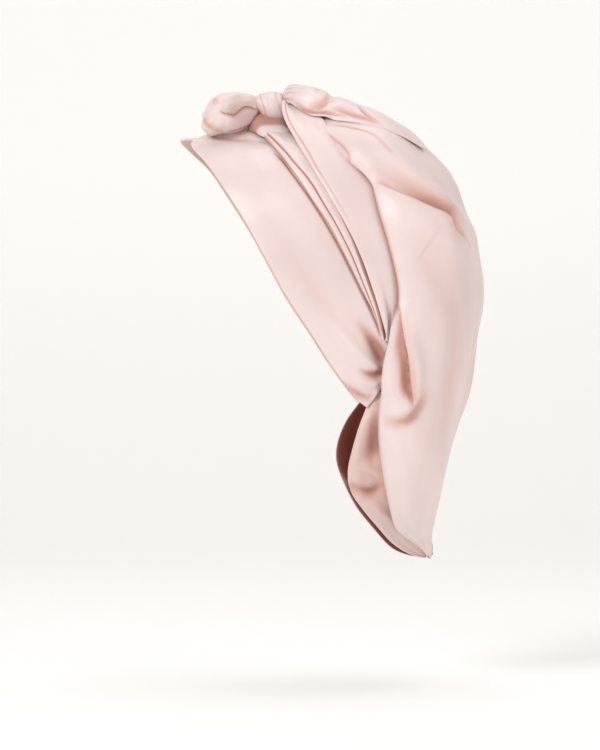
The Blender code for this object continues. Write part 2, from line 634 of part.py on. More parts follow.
def main():
    for old in list(bpy.data.objects):
        bpy.data.objects.remove(old)
    bands = band_faces()
    bag_outer = bag_patch()
    bag_crown = bag_outer[: BAG_GRID[0] // 5]
    pleats, straps = {}, {}
    for side in ("left", "right"):
        pleats[side] = pleat_faces(side, bands[side][0])
        straps[side] = strap_faces(side, [bands[side][0], pleats[side][0], bag_crown])
        cloth("brow_band_" + side, *bands[side])
        cloth("side_pleats_" + side, *pleats[side])
        cloth("side_strap_" + side, *straps[side])
    panel = panel_faces()
    cloth("nape_panel", *panel)
    over_strap = PLEAT_GRID[0] // 3
    bag = bag_faces(bag_outer, [straps["left"][0][over_strap:], straps["right"][0][over_strap:], panel[0]])
    cloth("bag", *bag)
    cloth("rear_loop", *drape_faces([bag[0], straps["left"][0], straps["right"][0]]))
    under_base = [pleats["left"][0], pleats["right"][0], bands["left"][0], bands["right"][0], bag[0]]
    cloth("knot_base", *knot_base_faces(under_base))
    tube("front_loop", pressed_loop())
    tube("knot", knot_rings())


main()
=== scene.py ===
"""Sleep bonnet of satin with a knotted tie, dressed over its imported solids."""

import math

import bpy
import numpy as np
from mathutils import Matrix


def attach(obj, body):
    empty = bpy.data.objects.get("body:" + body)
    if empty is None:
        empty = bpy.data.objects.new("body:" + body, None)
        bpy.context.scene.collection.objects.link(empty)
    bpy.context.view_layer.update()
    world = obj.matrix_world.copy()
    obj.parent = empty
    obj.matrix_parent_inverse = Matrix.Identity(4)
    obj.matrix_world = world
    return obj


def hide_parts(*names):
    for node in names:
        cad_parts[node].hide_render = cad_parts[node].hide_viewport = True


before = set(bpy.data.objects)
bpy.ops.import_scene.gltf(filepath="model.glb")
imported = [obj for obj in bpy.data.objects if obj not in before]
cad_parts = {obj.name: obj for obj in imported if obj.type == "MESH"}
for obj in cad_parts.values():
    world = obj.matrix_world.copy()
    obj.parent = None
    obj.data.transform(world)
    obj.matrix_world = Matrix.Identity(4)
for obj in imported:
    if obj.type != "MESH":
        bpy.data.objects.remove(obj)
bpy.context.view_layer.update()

bl_info = {
    "name": "Sleep Bonnet",
    "version": (1, 0, 0),
    "blender": (4, 5, 0),
    "location": "View3D > Sidebar > Bonnet",
    "description": "Builds a satin sleep bonnet with a knotted tie",
    "category": "Object",
}

# Tables hold lengths as shares of the sizes: "back" of the depth, "down" of the drop, and "out" of
# the half width, positive towards the wearer's left side.
BAND_COLUMNS = ("front_back", "front_down", "front_out", "rear_back", "rear_down", "rear_out")
BAND_ROWS = (
    (0.275, 0.076, 0.017, 0.35, 0.081, 0.015),
    (0.215, 0.0905, 0.014, 0.345, 0.092, 0.11),
    (0.145, 0.0995, 0.014, 0.325, 0.111, 0.19),
    (0.0927, 0.1055, 0.018, 0.312, 0.122, 0.27),
    (0.066, 0.114, 0.03, 0.316, 0.125, 0.285),
    (0.0485, 0.12, 0.045, 0.314, 0.129, 0.315),
    (0.0475, 0.131, 0.11, 0.312, 0.132, 0.365),
    (0.07, 0.15, 0.3, 0.318, 0.138, 0.432),
    (0.108, 0.179, 0.5, 0.334, 0.148, 0.502),
    (0.159, 0.228, 0.698, 0.374, 0.178, 0.65),
    (0.214, 0.283, 0.808, 0.409, 0.221, 0.748),
    (0.256, 0.329, 0.855, 0.448, 0.256, 0.796),
    (0.304, 0.386, 0.872, 0.492, 0.302, 0.831),
    (0.349, 0.439, 0.872, 0.531, 0.345, 0.848),
    (0.397, 0.488, 0.86, 0.566, 0.39, 0.858),
    (0.444, 0.533, 0.843, 0.598, 0.437, 0.864),
    (0.492, 0.582, 0.814, 0.626, 0.478, 0.862),
    (0.541, 0.627, 0.779, 0.666, 0.519, 0.85),
    (0.583, 0.662, 0.744, 0.686, 0.562, 0.825),
    (0.618, 0.681, 0.721, 0.675, 0.63, 0.775),
)
RIGHT_BAND_REACH = 0.040
RIGHT_BAND_PEAK = 6

PLEAT_COLUMNS = (
    "first_back", "first_down", "first_out", "strap_back", "strap_down", "strap_out",
    "second_pleat", "full",
)
PLEAT_ROWS = (
    (0.242, 0.0985, 0.11, 0.345, 0.1025, 0.15, 0.07, 0.6),
    (0.269, 0.109, 0.2, 0.358, 0.109, 0.22, 0.09, 0.8),
    (0.293, 0.124, 0.34, 0.374, 0.118, 0.31, 0.13, 1),
    (0.319, 0.146, 0.51, 0.4, 0.136, 0.47, 0.18, 1),
    (0.35, 0.171, 0.64, 0.436, 0.169, 0.61, 0.23, 1),
    (0.387, 0.203, 0.722, 0.461, 0.197, 0.69, 0.31, 1),
    (0.42, 0.235, 0.778, 0.489, 0.229, 0.76, 0.37, 1),
    (0.452, 0.267, 0.816, 0.517, 0.264, 0.807, 0.4, 1),
    (0.489, 0.301, 0.842, 0.545, 0.303, 0.842, 0.42, 1),
    (0.523, 0.341, 0.862, 0.572, 0.341, 0.865, 0.46, 1),
    (0.556, 0.383, 0.874, 0.597, 0.384, 0.88, 0.52, 1),
    (0.588, 0.425, 0.882, 0.617, 0.423, 0.885, 0.5, 0.95),
    (0.62, 0.466, 0.883, 0.64, 0.464, 0.887, 0.45, 0.9),
    (0.647, 0.503, 0.877, 0.659, 0.505, 0.881, 0.45, 0.8),
    (0.664, 0.54, 0.86, 0.672, 0.542, 0.863, 0.45, 0.2),
)

STRAP_COLUMNS = ("front_back", "front_down", "front_out", "rear_back", "rear_down", "rear_out", "puff")
STRAP_ROWS = (
    (0.346, 0.055, 0.12, 0.372, 0.048, 0.095, 0.1),
    (0.353, 0.093, 0.3, 0.43, 0.068, 0.24, 0.5),
    (0.388, 0.14, 0.49, 0.494, 0.104, 0.395, 0.8),
    (0.418, 0.176, 0.61, 0.552, 0.152, 0.525, 1),
    (0.444, 0.205, 0.69, 0.596, 0.186, 0.62, 1),
    (0.474, 0.235, 0.76, 0.641, 0.226, 0.7, 1),
    (0.505, 0.269, 0.807, 0.672, 0.264, 0.764, 1),
    (0.537, 0.305, 0.842, 0.691, 0.301, 0.812, 1),
    (0.567, 0.342, 0.865, 0.709, 0.345, 0.85, 0.9),
    (0.595, 0.384, 0.88, 0.722, 0.384, 0.872, 0.7),
    (0.617, 0.423, 0.885, 0.728, 0.423, 0.885, 0.5),
    (0.639, 0.464, 0.887, 0.728, 0.466, 0.888, 0.3),
    (0.658, 0.505, 0.878, 0.709, 0.507, 0.875, 0.2),
    (0.671, 0.542, 0.855, 0.688, 0.544, 0.855, 0.1),
)

BAG_COLUMNS = (
    "edge_back", "edge_down", "edge_out", "spine_back", "spine_down", "half_width", "squareness",
)
BAG_ROWS = (
    (0.345, 0.12, 0.205, 0.352, 0.118, 0.215, 2),
    (0.396, 0.115, 0.295, 0.425, 0.084, 0.3, 2),
    (0.448, 0.115, 0.405, 0.52, 0.059, 0.45, 2),
    (0.503, 0.133, 0.48, 0.63, 0.066, 0.56, 2.1),
    (0.556, 0.174, 0.64, 0.76, 0.104, 0.72, 2.2),
    (0.622, 0.226, 0.765, 0.885, 0.187, 0.83, 2.3),
    (0.664, 0.302, 0.875, 0.94, 0.274, 0.93, 2.4),
    (0.696, 0.38, 0.94, 0.984, 0.363, 0.985, 2.4),
    (0.715, 0.454, 0.968, 1, 0.448, 1, 2.4),
    (0.692, 0.534, 0.955, 0.992, 0.537, 1.005, 2.4),
    (0.665, 0.636, 0.83, 0.966, 0.643, 0.971, 2.3),
    (0.655, 0.728, 0.758, 0.928, 0.736, 0.919, 2.3),
    (0.669, 0.811, 0.68, 0.885, 0.821, 0.837, 2.3),
    (0.69, 0.884, 0.57, 0.852, 0.897, 0.709, 2.2),
    (0.707, 0.924, 0.45, 0.84, 0.936, 0.56, 2.1),
    (0.723, 0.942, 0.39, 0.8355, 0.957, 0.47, 2.1),
    (0.769, 0.9645, 0.26, 0.835, 0.979, 0.32, 2),
    (0.806, 0.984, 0.12, 0.833, 0.993, 0.16, 2),
    (0.821, 0.996, 0.03, 0.827, 1, 0.05, 2),
)

PANEL_COLUMNS = ("hem_back", "hem_down", "hem_out", "rear_back", "rear_down", "rear_out")
PANEL_ROWS = (
    (0.632, 0.655, 0.695, 0.69, 0.648, 0.745),
    (0.613, 0.69, 0.7, 0.701, 0.68, 0.75),
    (0.594, 0.724, 0.692, 0.704, 0.718, 0.74),
    (0.573, 0.77, 0.668, 0.708, 0.767, 0.712),
    (0.56, 0.811, 0.63, 0.715, 0.811, 0.662),
    (0.567, 0.853, 0.565, 0.722, 0.849, 0.585),
    (0.608, 0.894, 0.47, 0.74, 0.886, 0.475),
    (0.658, 0.933, 0.345, 0.765, 0.92, 0.335),
    (0.703, 0.966, 0.188, 0.787, 0.952, 0.174),
    (0.75, 0.988, 0.09, 0.804, 0.975, 0.08),
    (0.796, 1.0005, 0.03, 0.821, 0.988, 0.02),
    (0.822, 1.001, -0.01, 0.829, 0.992, -0.01),
    (0.765, 0.9985, -0.07, 0.812, 0.982, -0.06),
    (0.707, 0.983, -0.18, 0.79, 0.955, -0.174),
    (0.651, 0.946, -0.34, 0.774, 0.922, -0.335),
    (0.595, 0.902, -0.475, 0.75, 0.888, -0.475),
    (0.552, 0.849, -0.578, 0.735, 0.853, -0.585),
    (0.528, 0.804, -0.64, 0.728, 0.811, -0.662),
    (0.532, 0.761, -0.675, 0.722, 0.767, -0.712),
    (0.559, 0.717, -0.692, 0.714, 0.718, -0.74),
    (0.592, 0.685, -0.69, 0.705, 0.68, -0.75),
    (0.625, 0.656, -0.669, 0.694, 0.648, -0.745),
)

DRAPE_COLUMNS = (
    "near_back", "near_down", "near_out", "crest_back", "crest_down", "crest_out",
    "far_back", "far_down", "far_out",
)
DRAPE_ROWS = (
    (0.35, 0.048, 0.07, 0.35, 0.022, 0, 0.35, 0.046, -0.07),
    (0.369, 0.044, 0.12, 0.369, 0.002, 0, 0.369, 0.043, -0.12),
    (0.396, 0.0585, 0.22, 0.396, 0, 0.01, 0.396, 0.05, -0.19),
    (0.43, 0.0705, 0.3, 0.43, 0.005, 0.02, 0.43, 0.066, -0.25),
    (0.478, 0.075, 0.375, 0.474, 0.011, 0.03, 0.478, 0.078, -0.32),
    (0.51, 0.0785, 0.41, 0.502, 0.026, 0.045, 0.51, 0.083, -0.32),
    (0.545, 0.083, 0.44, 0.54, 0.03, 0.075, 0.545, 0.082, -0.3),
    (0.61, 0.092, 0.47, 0.606, 0.048, 0.17, 0.61, 0.074, -0.15),
    (0.675, 0.106, 0.48, 0.672, 0.066, 0.25, 0.672, 0.084, 0),
    (0.73, 0.122, 0.455, 0.726, 0.092, 0.3, 0.722, 0.102, 0.13),
    (0.776, 0.138, 0.415, 0.776, 0.118, 0.33, 0.772, 0.118, 0.24),
    (0.8, 0.147, 0.375, 0.801, 0.138, 0.35, 0.8, 0.137, 0.32),
)

KNOT_BASE_COLUMNS = ("out", "back", "half_long", "top_down", "under_down")
KNOT_BASE_HALF = (
    (0.38, 0.36, 0.004, 0.1245, 0.125), (0.366, 0.353, 0.023, 0.1185, 0.124),
    (0.335, 0.3425, 0.0375, 0.1115, 0.1215), (0.29, 0.3315, 0.0485, 0.1035, 0.117),
    (0.235, 0.322, 0.054, 0.096, 0.111), (0.18, 0.313, 0.056, 0.0885, 0.106),
    (0.1, 0.297, 0.066, 0.068, 0.1), (0, 0.295, 0.069, 0.058, 0.098),
)
KNOT_BASE_ROWS = KNOT_BASE_HALF + tuple((-row[0],) + row[1:] for row in KNOT_BASE_HALF[-2::-1])
KNOT_COLUMNS = ("back", "top_down", "bottom_down")
KNOT_ROWS = (
    (0.256, 0.033, 0.047), (0.26, 0.025, 0.059), (0.27, 0.0205, 0.066), (0.281, 0.0185, 0.0745),
    (0.2942, 0.0167, 0.0812), (0.314, 0.0154, 0.086), (0.3338, 0.0167, 0.086), (0.3469, 0.0217, 0.084),
    (0.3535, 0.031, 0.079),
)
HEAD_MIDDLE = (0.36, 0.34, 0.0)
LOOP_MIDDLE = (0.165, 0.070, 0.128)

# Rows and columns of the fine meshes
BAND_GRID = (241, 91)
PLEAT_GRID = (211, 97)
STRAP_GRID = (211, 61)
PANEL_GRID = (241, 61)
PETAL_GRID = (211, 181)
LOOP_GRID = (133, 288)
KNOT_GRID = (97, 144)
KNOT_BASE_GRID = (43, 121)
# The bag is laid on its coarse grid, and its left half has the most columns of the fine one.
BAG_COARSE_GRID = (48, 61)
BAG_FINE_ROWS = 283
BAG_LEFT_COLUMNS, BAG_RIGHT_COLUMNS = 139, 97
# A sheet's inner side keeps every third row and column, and its rim has this many strips.
INNER_STEP = 3
RIM_STRIPS = 4

# Gaps between layers and heights over them, in metres
LAYER_GAP = 0.0008
STRAP_GAP = 0.0005
PETAL_GAP = 0.0010
PLEATS_HIGH = 0.0036
PLEAT_BASE = 0.0006
PANEL_WALL = 0.0014

# Points along a fold's line and passes that smooth it, and a lap's groove and slide as shares of
# its rise
FOLD_POINTS = 150
FOLD_PASSES = 20
LAP_GROOVE = 0.35
LAP_SLIDE = 0.45

# Folds. A row is a place along the fold; "rise" and "reach" are in millimetres, across the fold.
# The raised side of a lap is on the right hand of someone who walks along it on the outside.
FOLD_COLUMNS = ("back", "down", "out", "rise", "reach")
BAG_FOLDS = (
    ("ridge", (
        (0.574, 0.113, 0.516, 0, 7), (0.635, 0.119, 0.59, 1, 8), (0.698, 0.152, 0.723, 3, 8),
        (0.755, 0.188, 0.781, 5, 8), (0.8, 0.219, 0.776, 5.5, 8), (0.845, 0.249, 0.726, 6, 9),
        (0.873, 0.268, 0.682, 6, 10), (0.908, 0.286, 0.58, 5.5, 11), (0.945, 0.315, 0.35, 4, 13),
        (0.965, 0.345, 0.1, 0, 14),
    )),
    ("lap", (
        (0.637, 0.223, 0.77, 0, 20), (0.656, 0.225, 0.798, 1.4, 22), (0.688, 0.233, 0.829, 2.4, 24),
        (0.721, 0.243, 0.846, 3, 26), (0.772, 0.26, 0.81, 3.6, 28), (0.816, 0.276, 0.777, 4, 28),
        (0.851, 0.287, 0.74, 4.2, 26), (0.867, 0.298, 0.72, 4, 24), (0.882, 0.315, 0.7, 3.4, 22),
        (0.912, 0.335, 0.64, 2, 20), (0.945, 0.369, 0.56, 0, 20),
    )),
    ("valley", (
        (0.634, 0.185, 0.699, 0, 9), (0.685, 0.204, 0.768, -1.5, 9), (0.723, 0.223, 0.774, -3, 8),
        (0.772, 0.248, 0.781, -4.5, 6.5), (0.816, 0.266, 0.746, -5.5, 5.5),
        (0.85, 0.282, 0.705, -5.5, 5), (0.873, 0.294, 0.664, -5, 5), (0.895, 0.316, 0.68, -3.5, 6),
        (0.92, 0.34, 0.64, 0, 7),
    )),
    ("ridge", (
        (0.7, 0.27, 0.89, 0, 9), (0.769, 0.299, 0.9, 1.6, 9), (0.825, 0.33, 0.88, 2.2, 9),
        (0.881, 0.35, 0.8, 2.2, 9), (0.942, 0.36, 0.575, 0, 9),
    )),
    ("valley", (
        (0.745, 0.315, 0.932, 0, 15), (0.8, 0.35, 0.925, -1.6, 15), (0.85, 0.4, 0.905, -2, 16),
        (0.89, 0.47, 0.86, -1.6, 17), (0.905, 0.56, 0.82, 0, 18),
    )),
    ("shaded_crease", (
        (0.49, 0.099, 0.413, 0, 1.4), (0.53, 0.102, 0.455, 0.25, 1.2), (0.569, 0.107, 0.497, 0.35, 1.2),
        (0.627, 0.117, 0.576, 0.3, 1.3), (0.653, 0.125, 0.632, 0.25, 1.3),
        (0.684, 0.145, 0.7, 0.2, 1.3), (0.723, 0.168, 0.756, 0, 1.6),
    )),
    ("shaded_crease", (
        (0.472, 0.108, 0.46, 0, 1.4), (0.499, 0.119, 0.5, 0.25, 1.2), (0.542, 0.141, 0.57, 0.3, 1.2),
        (0.573, 0.164, 0.62, 0.3, 1.2), (0.602, 0.191, 0.67, 0.3, 1.2), (0.623, 0.213, 0.73, 0.25, 1.2),
        (0.637, 0.223, 0.77, 0, 1.4),
    )),
    ("lap", (
        (0.76, 0.7, 0.892, 0, 8), (0.758, 0.675, 0.895, 1, 6), (0.756, 0.656, 0.896, 2.6, 6.5),
        (0.751, 0.63, 0.888, 3.4, 7), (0.745, 0.589, 0.89, 3.6, 7.5), (0.736, 0.535, 0.93, 3.2, 7.5),
        (0.728, 0.493, 0.96, 2.2, 7), (0.722, 0.46, 0.972, 0, 10),
    )),
    ("valley", (
        (0.72, 0.475, 0.97, 0, 3), (0.726, 0.5217, 0.95, -2, 3.8), (0.729, 0.562, 0.91, -3.4, 4.6),
        (0.735, 0.6025, 0.89, -4.2, 5), (0.741, 0.6389, 0.888, -4.2, 4.6),
        (0.752, 0.662, 0.892, -2.4, 3), (0.756, 0.68, 0.895, 0, 2.4),
    )),
    ("ridge", (
        (0.708, 0.47, 0.975, 0, 4), (0.703, 0.5017, 0.975, 1.6, 4.5), (0.6969, 0.542, 0.955, 2.4, 5),
        (0.688, 0.5825, 0.91, 2.8, 5.5), (0.689, 0.6146, 0.88, 2.8, 5.5),
        (0.7001, 0.6469, 0.87, 2.8, 6), (0.7189, 0.68, 0.88, 2.4, 6), (0.74, 0.7, 0.885, 0, 6),
    )),
    ("ridge", (
        (0.68, 0.69, 0.86, 0, 4.5), (0.7, 0.692, 0.872, 1.8, 4.5), (0.722, 0.69, 0.88, 2.8, 4.5),
        (0.748, 0.678, 0.892, 3, 4.5), (0.768, 0.654, 0.9, 3.2, 5), (0.776, 0.625, 0.905, 2.8, 5),
        (0.772, 0.595, 0.905, 2.4, 5.5), (0.762, 0.565, 0.91, 1.8, 5.5), (0.75, 0.535, 0.93, 1.2, 5.5),
        (0.7378, 0.505, 0.95, 0, 5),
    )),
    ("valley", (
        (0.8015, 0.6356, 0.905, 0, 4), (0.792, 0.6663, 0.895, -1.8, 4), (0.773, 0.6888, 0.885, -2.8, 4),
        (0.741, 0.7061, 0.87, -2.8, 4), (0.706, 0.7112, 0.86, -1.8, 4), (0.675, 0.704, 0.84, 0, 4),
    )),
    ("ridge", (
        (0.84, 0.43, 0.9, 0, 12), (0.86, 0.54, 0.88, 1.2, 12), (0.85, 0.66, 0.86, 1.6, 12),
        (0.815, 0.78, 0.76, 1.2, 11), (0.79, 0.87, 0.62, 0, 10),
    )),
    ("valley", (
        (0.9, 0.42, 0.8, 0, 9), (0.915, 0.56, 0.78, -1.6, 9), (0.895, 0.7, 0.72, -1.8, 9),
        (0.85, 0.83, 0.6, 0, 8),
    )),
    ("ridge", (
        (0.8, 0.11, 0.1, 0, 10), (0.9, 0.2, 0.16, 2.4, 12), (0.965, 0.32, 0.23, 3, 13),
        (0.99, 0.46, 0.3, 2.4, 14), (0.96, 0.6, 0.36, 0, 14),
    )),
    ("valley", (
        (0.98, 0.46, 0.52, 0, 9), (0.965, 0.56, 0.44, -2, 10), (0.935, 0.68, 0.34, -2.4, 10),
        (0.89, 0.8, 0.2, 0, 10),
    )),
    ("ridge", (
        (0.86, 0.2, -0.35, 0, 16), (0.94, 0.33, -0.45, 5, 17), (0.95, 0.48, -0.48, 6, 18),
        (0.93, 0.62, -0.42, 4.5, 18), (0.9, 0.76, -0.3, 0, 18),
    )),
    ("valley", (
        (0.93, 0.27, 0.05, 0, 12), (0.98, 0.4, -0.08, -4, 13), (0.985, 0.54, -0.1, -5, 14),
        (0.95, 0.69, -0.06, -4, 14), (0.89, 0.83, 0, 0, 13),
    )),
    ("lap", (
        (0.912, 0.34, -0.56, 0, 18), (0.87, 0.318, -0.68, 4, 18), (0.8, 0.3, -0.76, 6, 16),
        (0.741, 0.272, -0.8, 6, 14), (0.7, 0.252, -0.82, 4.5, 12), (0.66, 0.238, -0.792, 2, 10),
        (0.64, 0.226, -0.76, 0, 8),
    )),
    ("ridge", (
        (0.59, 0.118, -0.52, 0, 9), (0.66, 0.14, -0.62, 4, 10), (0.74, 0.19, -0.73, 6, 12),
        (0.82, 0.246, -0.72, 6.5, 13), (0.89, 0.29, -0.56, 4, 14), (0.93, 0.33, -0.3, 0, 14),
    )),
    ("valley", (
        (0.735, 0.46, -0.97, 0, 6), (0.744, 0.53, -0.965, -4, 7), (0.75, 0.61, -0.93, -4.5, 8),
        (0.76, 0.7, -0.88, 0, 9),
    )),
)

BAND_FOLDS = (
    ("shaded_crease", (
        (0.319, 0.147, 0.519, 0, 1), (0.349, 0.173, 0.628, 0.7, 1), (0.383, 0.204, 0.715, 0.8, 1),
        (0.449, 0.266, 0.8, 0.8, 1), (0.519, 0.342, 0.845, 0.8, 1), (0.586, 0.427, 0.86, 0.8, 1),
        (0.645, 0.506, 0.84, 0.7, 1), (0.662, 0.542, 0.82, 0, 1),
    )),
    ("valley", (
        (0.096, 0.112, 0.03, 0, 4), (0.14, 0.116, 0.13, -1.6, 4), (0.206, 0.119, 0.19, -1.8, 5),
        (0.262, 0.122, 0.24, 0, 4),
    )),
    ("ridge", (
        (0.48, 0.48, 0.85, 0, 3.6), (0.5365, 0.5257, 0.84, 1.2, 3.6), (0.5998, 0.5743, 0.825, 2, 3.4),
        (0.6503, 0.5984, 0.8, 1.6, 2.6), (0.668, 0.606, 0.79, 0, 2.2),
    )),
    ("valley", (
        (0.585, 0.5, 0.855, 0, 3), (0.6186, 0.5297, 0.845, -2, 3.2), (0.648, 0.56, 0.825, -4.6, 4),
        (0.668, 0.583, 0.805, -4.6, 3.8), (0.682, 0.592, 0.8, -2, 3),
    )),
    ("valley", (
        (0.59, 0.602, 0.805, 0, 2), (0.6126, 0.6107, 0.795, -1.4, 2.2),
        (0.6443, 0.6155, 0.785, -3.6, 3), (0.664, 0.611, 0.785, -4, 3.4), (0.678, 0.606, 0.785, -2, 3),
    )),
    ("ridge", (
        (0.58, 0.62, 0.795, 0, 2.4), (0.61, 0.632, 0.78, 1.4, 2.6), (0.64, 0.636, 0.765, 1.6, 2.6),
        (0.66, 0.628, 0.765, 0, 2.2),
    )),
    ("valley", (
        (0.525, 0.625, 0.79, 0, 2.6), (0.5561, 0.6429, 0.775, -1.4, 2.8),
        (0.5875, 0.6552, 0.758, -2, 2.6), (0.62, 0.662, 0.745, -1.2, 2.4),
        (0.645, 0.655, 0.745, 0, 2.2),
    )),
    ("valley", (
        (0.3, 0.28, 0.85, 0, 9), (0.39, 0.38, 0.86, -0.9, 9), (0.47, 0.46, 0.85, -0.9, 8),
        (0.54, 0.52, 0.83, 0, 6),
    )),
)
NAPE_FOLDS = (
    ("ridge", (
        (0.625, 0.69, 0.71, 0, 4), (0.598, 0.74, 0.69, 2.4, 4), (0.585, 0.8, 0.645, 2.8, 4),
        (0.6, 0.86, 0.56, 1.6, 4), (0.64, 0.9, 0.45, 0, 4),
    )),
    ("valley", (
        (0.655, 0.69, 0.73, 0, 5), (0.65, 0.733, 0.711, -3, 5), (0.64, 0.77, 0.687, -3.5, 5),
        (0.628, 0.8, 0.66, 0, 5),
    )),
    ("ridge", (
        (0.59, 0.799, 0.65, 0, 4), (0.62, 0.808, 0.64, 3.2, 4), (0.66, 0.82, 0.625, 3.2, 4),
        (0.7, 0.85, 0.6, 0, 4),
    )),
    ("valley", (
        (0.575, 0.848, 0.575, -2, 4), (0.603, 0.853, 0.566, -2.8, 4), (0.635, 0.857, 0.556, -3.2, 4.2),
        (0.67, 0.834, 0.609, 0, 4),
    )),
    ("ridge", (
        (0.61, 0.88, 0.51, 0, 4), (0.65, 0.893, 0.48, 2.2, 4), (0.69, 0.915, 0.43, 1.6, 4),
        (0.73, 0.94, 0.35, 0, 4),
    )),
)
PETAL_FOLDS = (
    ("lap", (
        (0.374, 0.04, 0, 5), (0.382, 0.0345, 1.6, 6), (0.399, 0.026, 2.4, 8), (0.427, 0.016, 2.6, 9),
        (0.45, 0.013, 2, 9), (0.47, 0.014, 0, 8),
    )),
    ("valley", (
        (0.38, 0.044, 0, 1.4), (0.4, 0.053, -1.2, 1.6), (0.4215, 0.061, -1.8, 1.8),
        (0.4564, 0.065, -1.8, 1.8), (0.4942, 0.0685, -1.5, 1.8), (0.5331, 0.073, -1, 1.8),
        (0.5719, 0.079, 0, 1.8),
    )),
    ("valley", (
        (0.505, 0.022, 0, 3), (0.497, 0.034, -1.6, 3.4), (0.481, 0.045, -2.6, 3.6),
        (0.464, 0.053, -2.8, 3.6), (0.442, 0.057, -1.6, 3.2), (0.425, 0.056, 0, 3),
    )),
    ("ridge", (
        (0.385, 0.043, 0, 4), (0.41, 0.039, 1.8, 5), (0.44, 0.034, 2.2, 6), (0.475, 0.03, 0, 5),
    )),
    ("ridge", (
        (0.475, 0.058, 0, 3.5), (0.5, 0.054, 1.4, 3.5), (0.549, 0.051, 1.8, 4), (0.603, 0.058, 0, 4),
    )),
    ("valley", (
        (0.5, 0.06, 0, 2.2), (0.543, 0.065, -1.6, 2.4), (0.58, 0.074, -1.8, 2.4),
        (0.628, 0.083, -1.4, 2.4), (0.68, 0.097, 0, 2.4),
    )),
    ("valley", (
        (0.592, 0.049, 0, 1.8), (0.603, 0.058, -1.4, 2), (0.618, 0.069, -1.6, 2),
        (0.64, 0.081, -1.2, 2), (0.672, 0.093, 0, 2),
    )),
)
# Folds of the front loop, which like the petal's have no column for out
LOOP_FOLDS = (
    ("lap", (
        (0.14, 0.06, 0, 3), (0.15, 0.065, 1, 3.4), (0.161, 0.068, 1.8, 4), (0.1675, 0.069, 2.4, 5.2),
        (0.176, 0.0705, 2.8, 5.6), (0.1839, 0.0705, 3, 5.6), (0.191, 0.0675, 3, 5.6),
        (0.1989, 0.063, 3, 5.6), (0.206, 0.0585, 2.8, 5.6), (0.2126, 0.0545, 2.6, 5.6),
        (0.221, 0.0515, 2.4, 5.6), (0.2296, 0.0505, 2.2, 5.2), (0.2499, 0.0527, 1.6, 4),
        (0.2604, 0.0542, 0.8, 3.6),
    )),
    ("ridge", (
        (0.24, 0.032, 0, 4), (0.21, 0.03, 1.4, 4.5), (0.175, 0.038, 1.8, 5), (0.145, 0.048, 0, 5),
    )),
    ("shaded_crease", (
        (0.2634, 0.06, 0, 0.8), (0.249, 0.077, 0.6, 0.8), (0.2326, 0.0875, 0.7, 0.8),
        (0.2087, 0.0962, 0.7, 0.8), (0.1815, 0.1015, 0.6, 0.8), (0.1605, 0.103, 0, 0.8),
    )),
    ("valley", (
        (0.1215, 0.0345, 0, 2), (0.124, 0.0375, -0.9, 2.2), (0.127, 0.0415, -1.2, 2.2),
        (0.13, 0.0455, -0.8, 2.2), (0.134, 0.051, 0, 2),
    )),
    ("valley", (
        (0.082, 0.074, 0, 2), (0.092, 0.081, -1.4, 2.2), (0.106, 0.09, -1.6, 2.4),
        (0.124, 0.0985, -1.2, 2.4), (0.147, 0.103, 0, 2.2),
    )),
)
# Outline of the front loop seen from the wearer's left, from the knot over the top and back
LOOP_OUTLINE = (
    (0.2629, 0.038), (0.2597, 0.03), (0.2485, 0.0248), (0.2288, 0.0218), (0.2012, 0.0191),
    (0.1663, 0.0208), (0.1368, 0.0239), (0.119, 0.0305), (0.1088, 0.0349), (0.0986, 0.0448),
    (0.0934, 0.0526), (0.0848, 0.061), (0.0815, 0.068), (0.085, 0.0758), (0.0815, 0.0831),
    (0.0776, 0.0899), (0.0799, 0.0964), (0.0901, 0.104), (0.1055, 0.1107), (0.1157, 0.1116),
    (0.1328, 0.1095), (0.1499, 0.107), (0.163, 0.1072), (0.1841, 0.1053), (0.2117, 0.0998),
    (0.2353, 0.0884), (0.2528, 0.0745), (0.2629, 0.061), (0.264, 0.05),
)


def bonnet():
    """The sizes that the panel shows."""
    return bpy.context.scene.bonnet_sizes


def place(back, down, out):
    """Shares of the sizes turned into points in metres, for single values and whole arrays."""
    sizes = bonnet()
    back, down, out = np.broadcast_arrays(back, down, out)
    return np.stack(
        [back * sizes.depth - sizes.seat_back, -out * sizes.half_width, sizes.seat_down - down * sizes.drop],
        axis=-1,
    )


def line_of(table, name):
    """The points of a table's three columns that start with one name."""
    return place(table[name + "_back"], table[name + "_down"], table[name + "_out"])


def catmull(values, at):
    """Values read at fractional places along the first axis, on a smooth cubic curve through them."""
    index = np.clip(at.astype(int), 0, len(values) - 2)
    t = (at - index).reshape((-1,) + (1,) * (values.ndim - 1))
    first = 2 * values[:1] - values[1:2]
    last = 2 * values[-1:] - values[-2:-1]
    padded = np.concatenate([first, values, last])
    a, b, c, d = (padded[index + step] for step in range(4))
    return b + 0.5 * t * (c - a + t * (2 * a - 5 * b + 4 * c - d + t * (3 * (b - c) + d - a)))


def read_table(names, rows, at):
    """A table's columns by name, each read at the given row numbers, whole and in between."""
    values = catmull(np.array(rows, float), at)
    return {name: values[:, k] for k, name in enumerate(names)}


def even_rows(rows, count):
    return np.linspace(0, len(rows) - 1, count)


def even_table(names, rows, count):
    """A table's columns by name, read at a count of evenly spaced row numbers."""
    return read_table(names, rows, even_rows(rows, count))


def unit(vectors):
    return vectors / np.maximum(np.linalg.norm(vectors, axis=-1, keepdims=True), 1e-12)


def normals_of(grid):
    """Unit normals of a patch: the cross product of its row and column directions."""
    return unit(np.cross(np.gradient(grid, axis=0), np.gradient(grid, axis=1)))


def ease(share):
    """Rises from 0 to 1 with level ends: 3 s squared less 2 s cubed."""
    share = np.clip(share, 0, 1)
    return share * share * (3 - 2 * share)


def bell(share):
    """Falls from 1 at 0 to nothing at about 2, on both sides."""
    return np.exp(-(share**2))


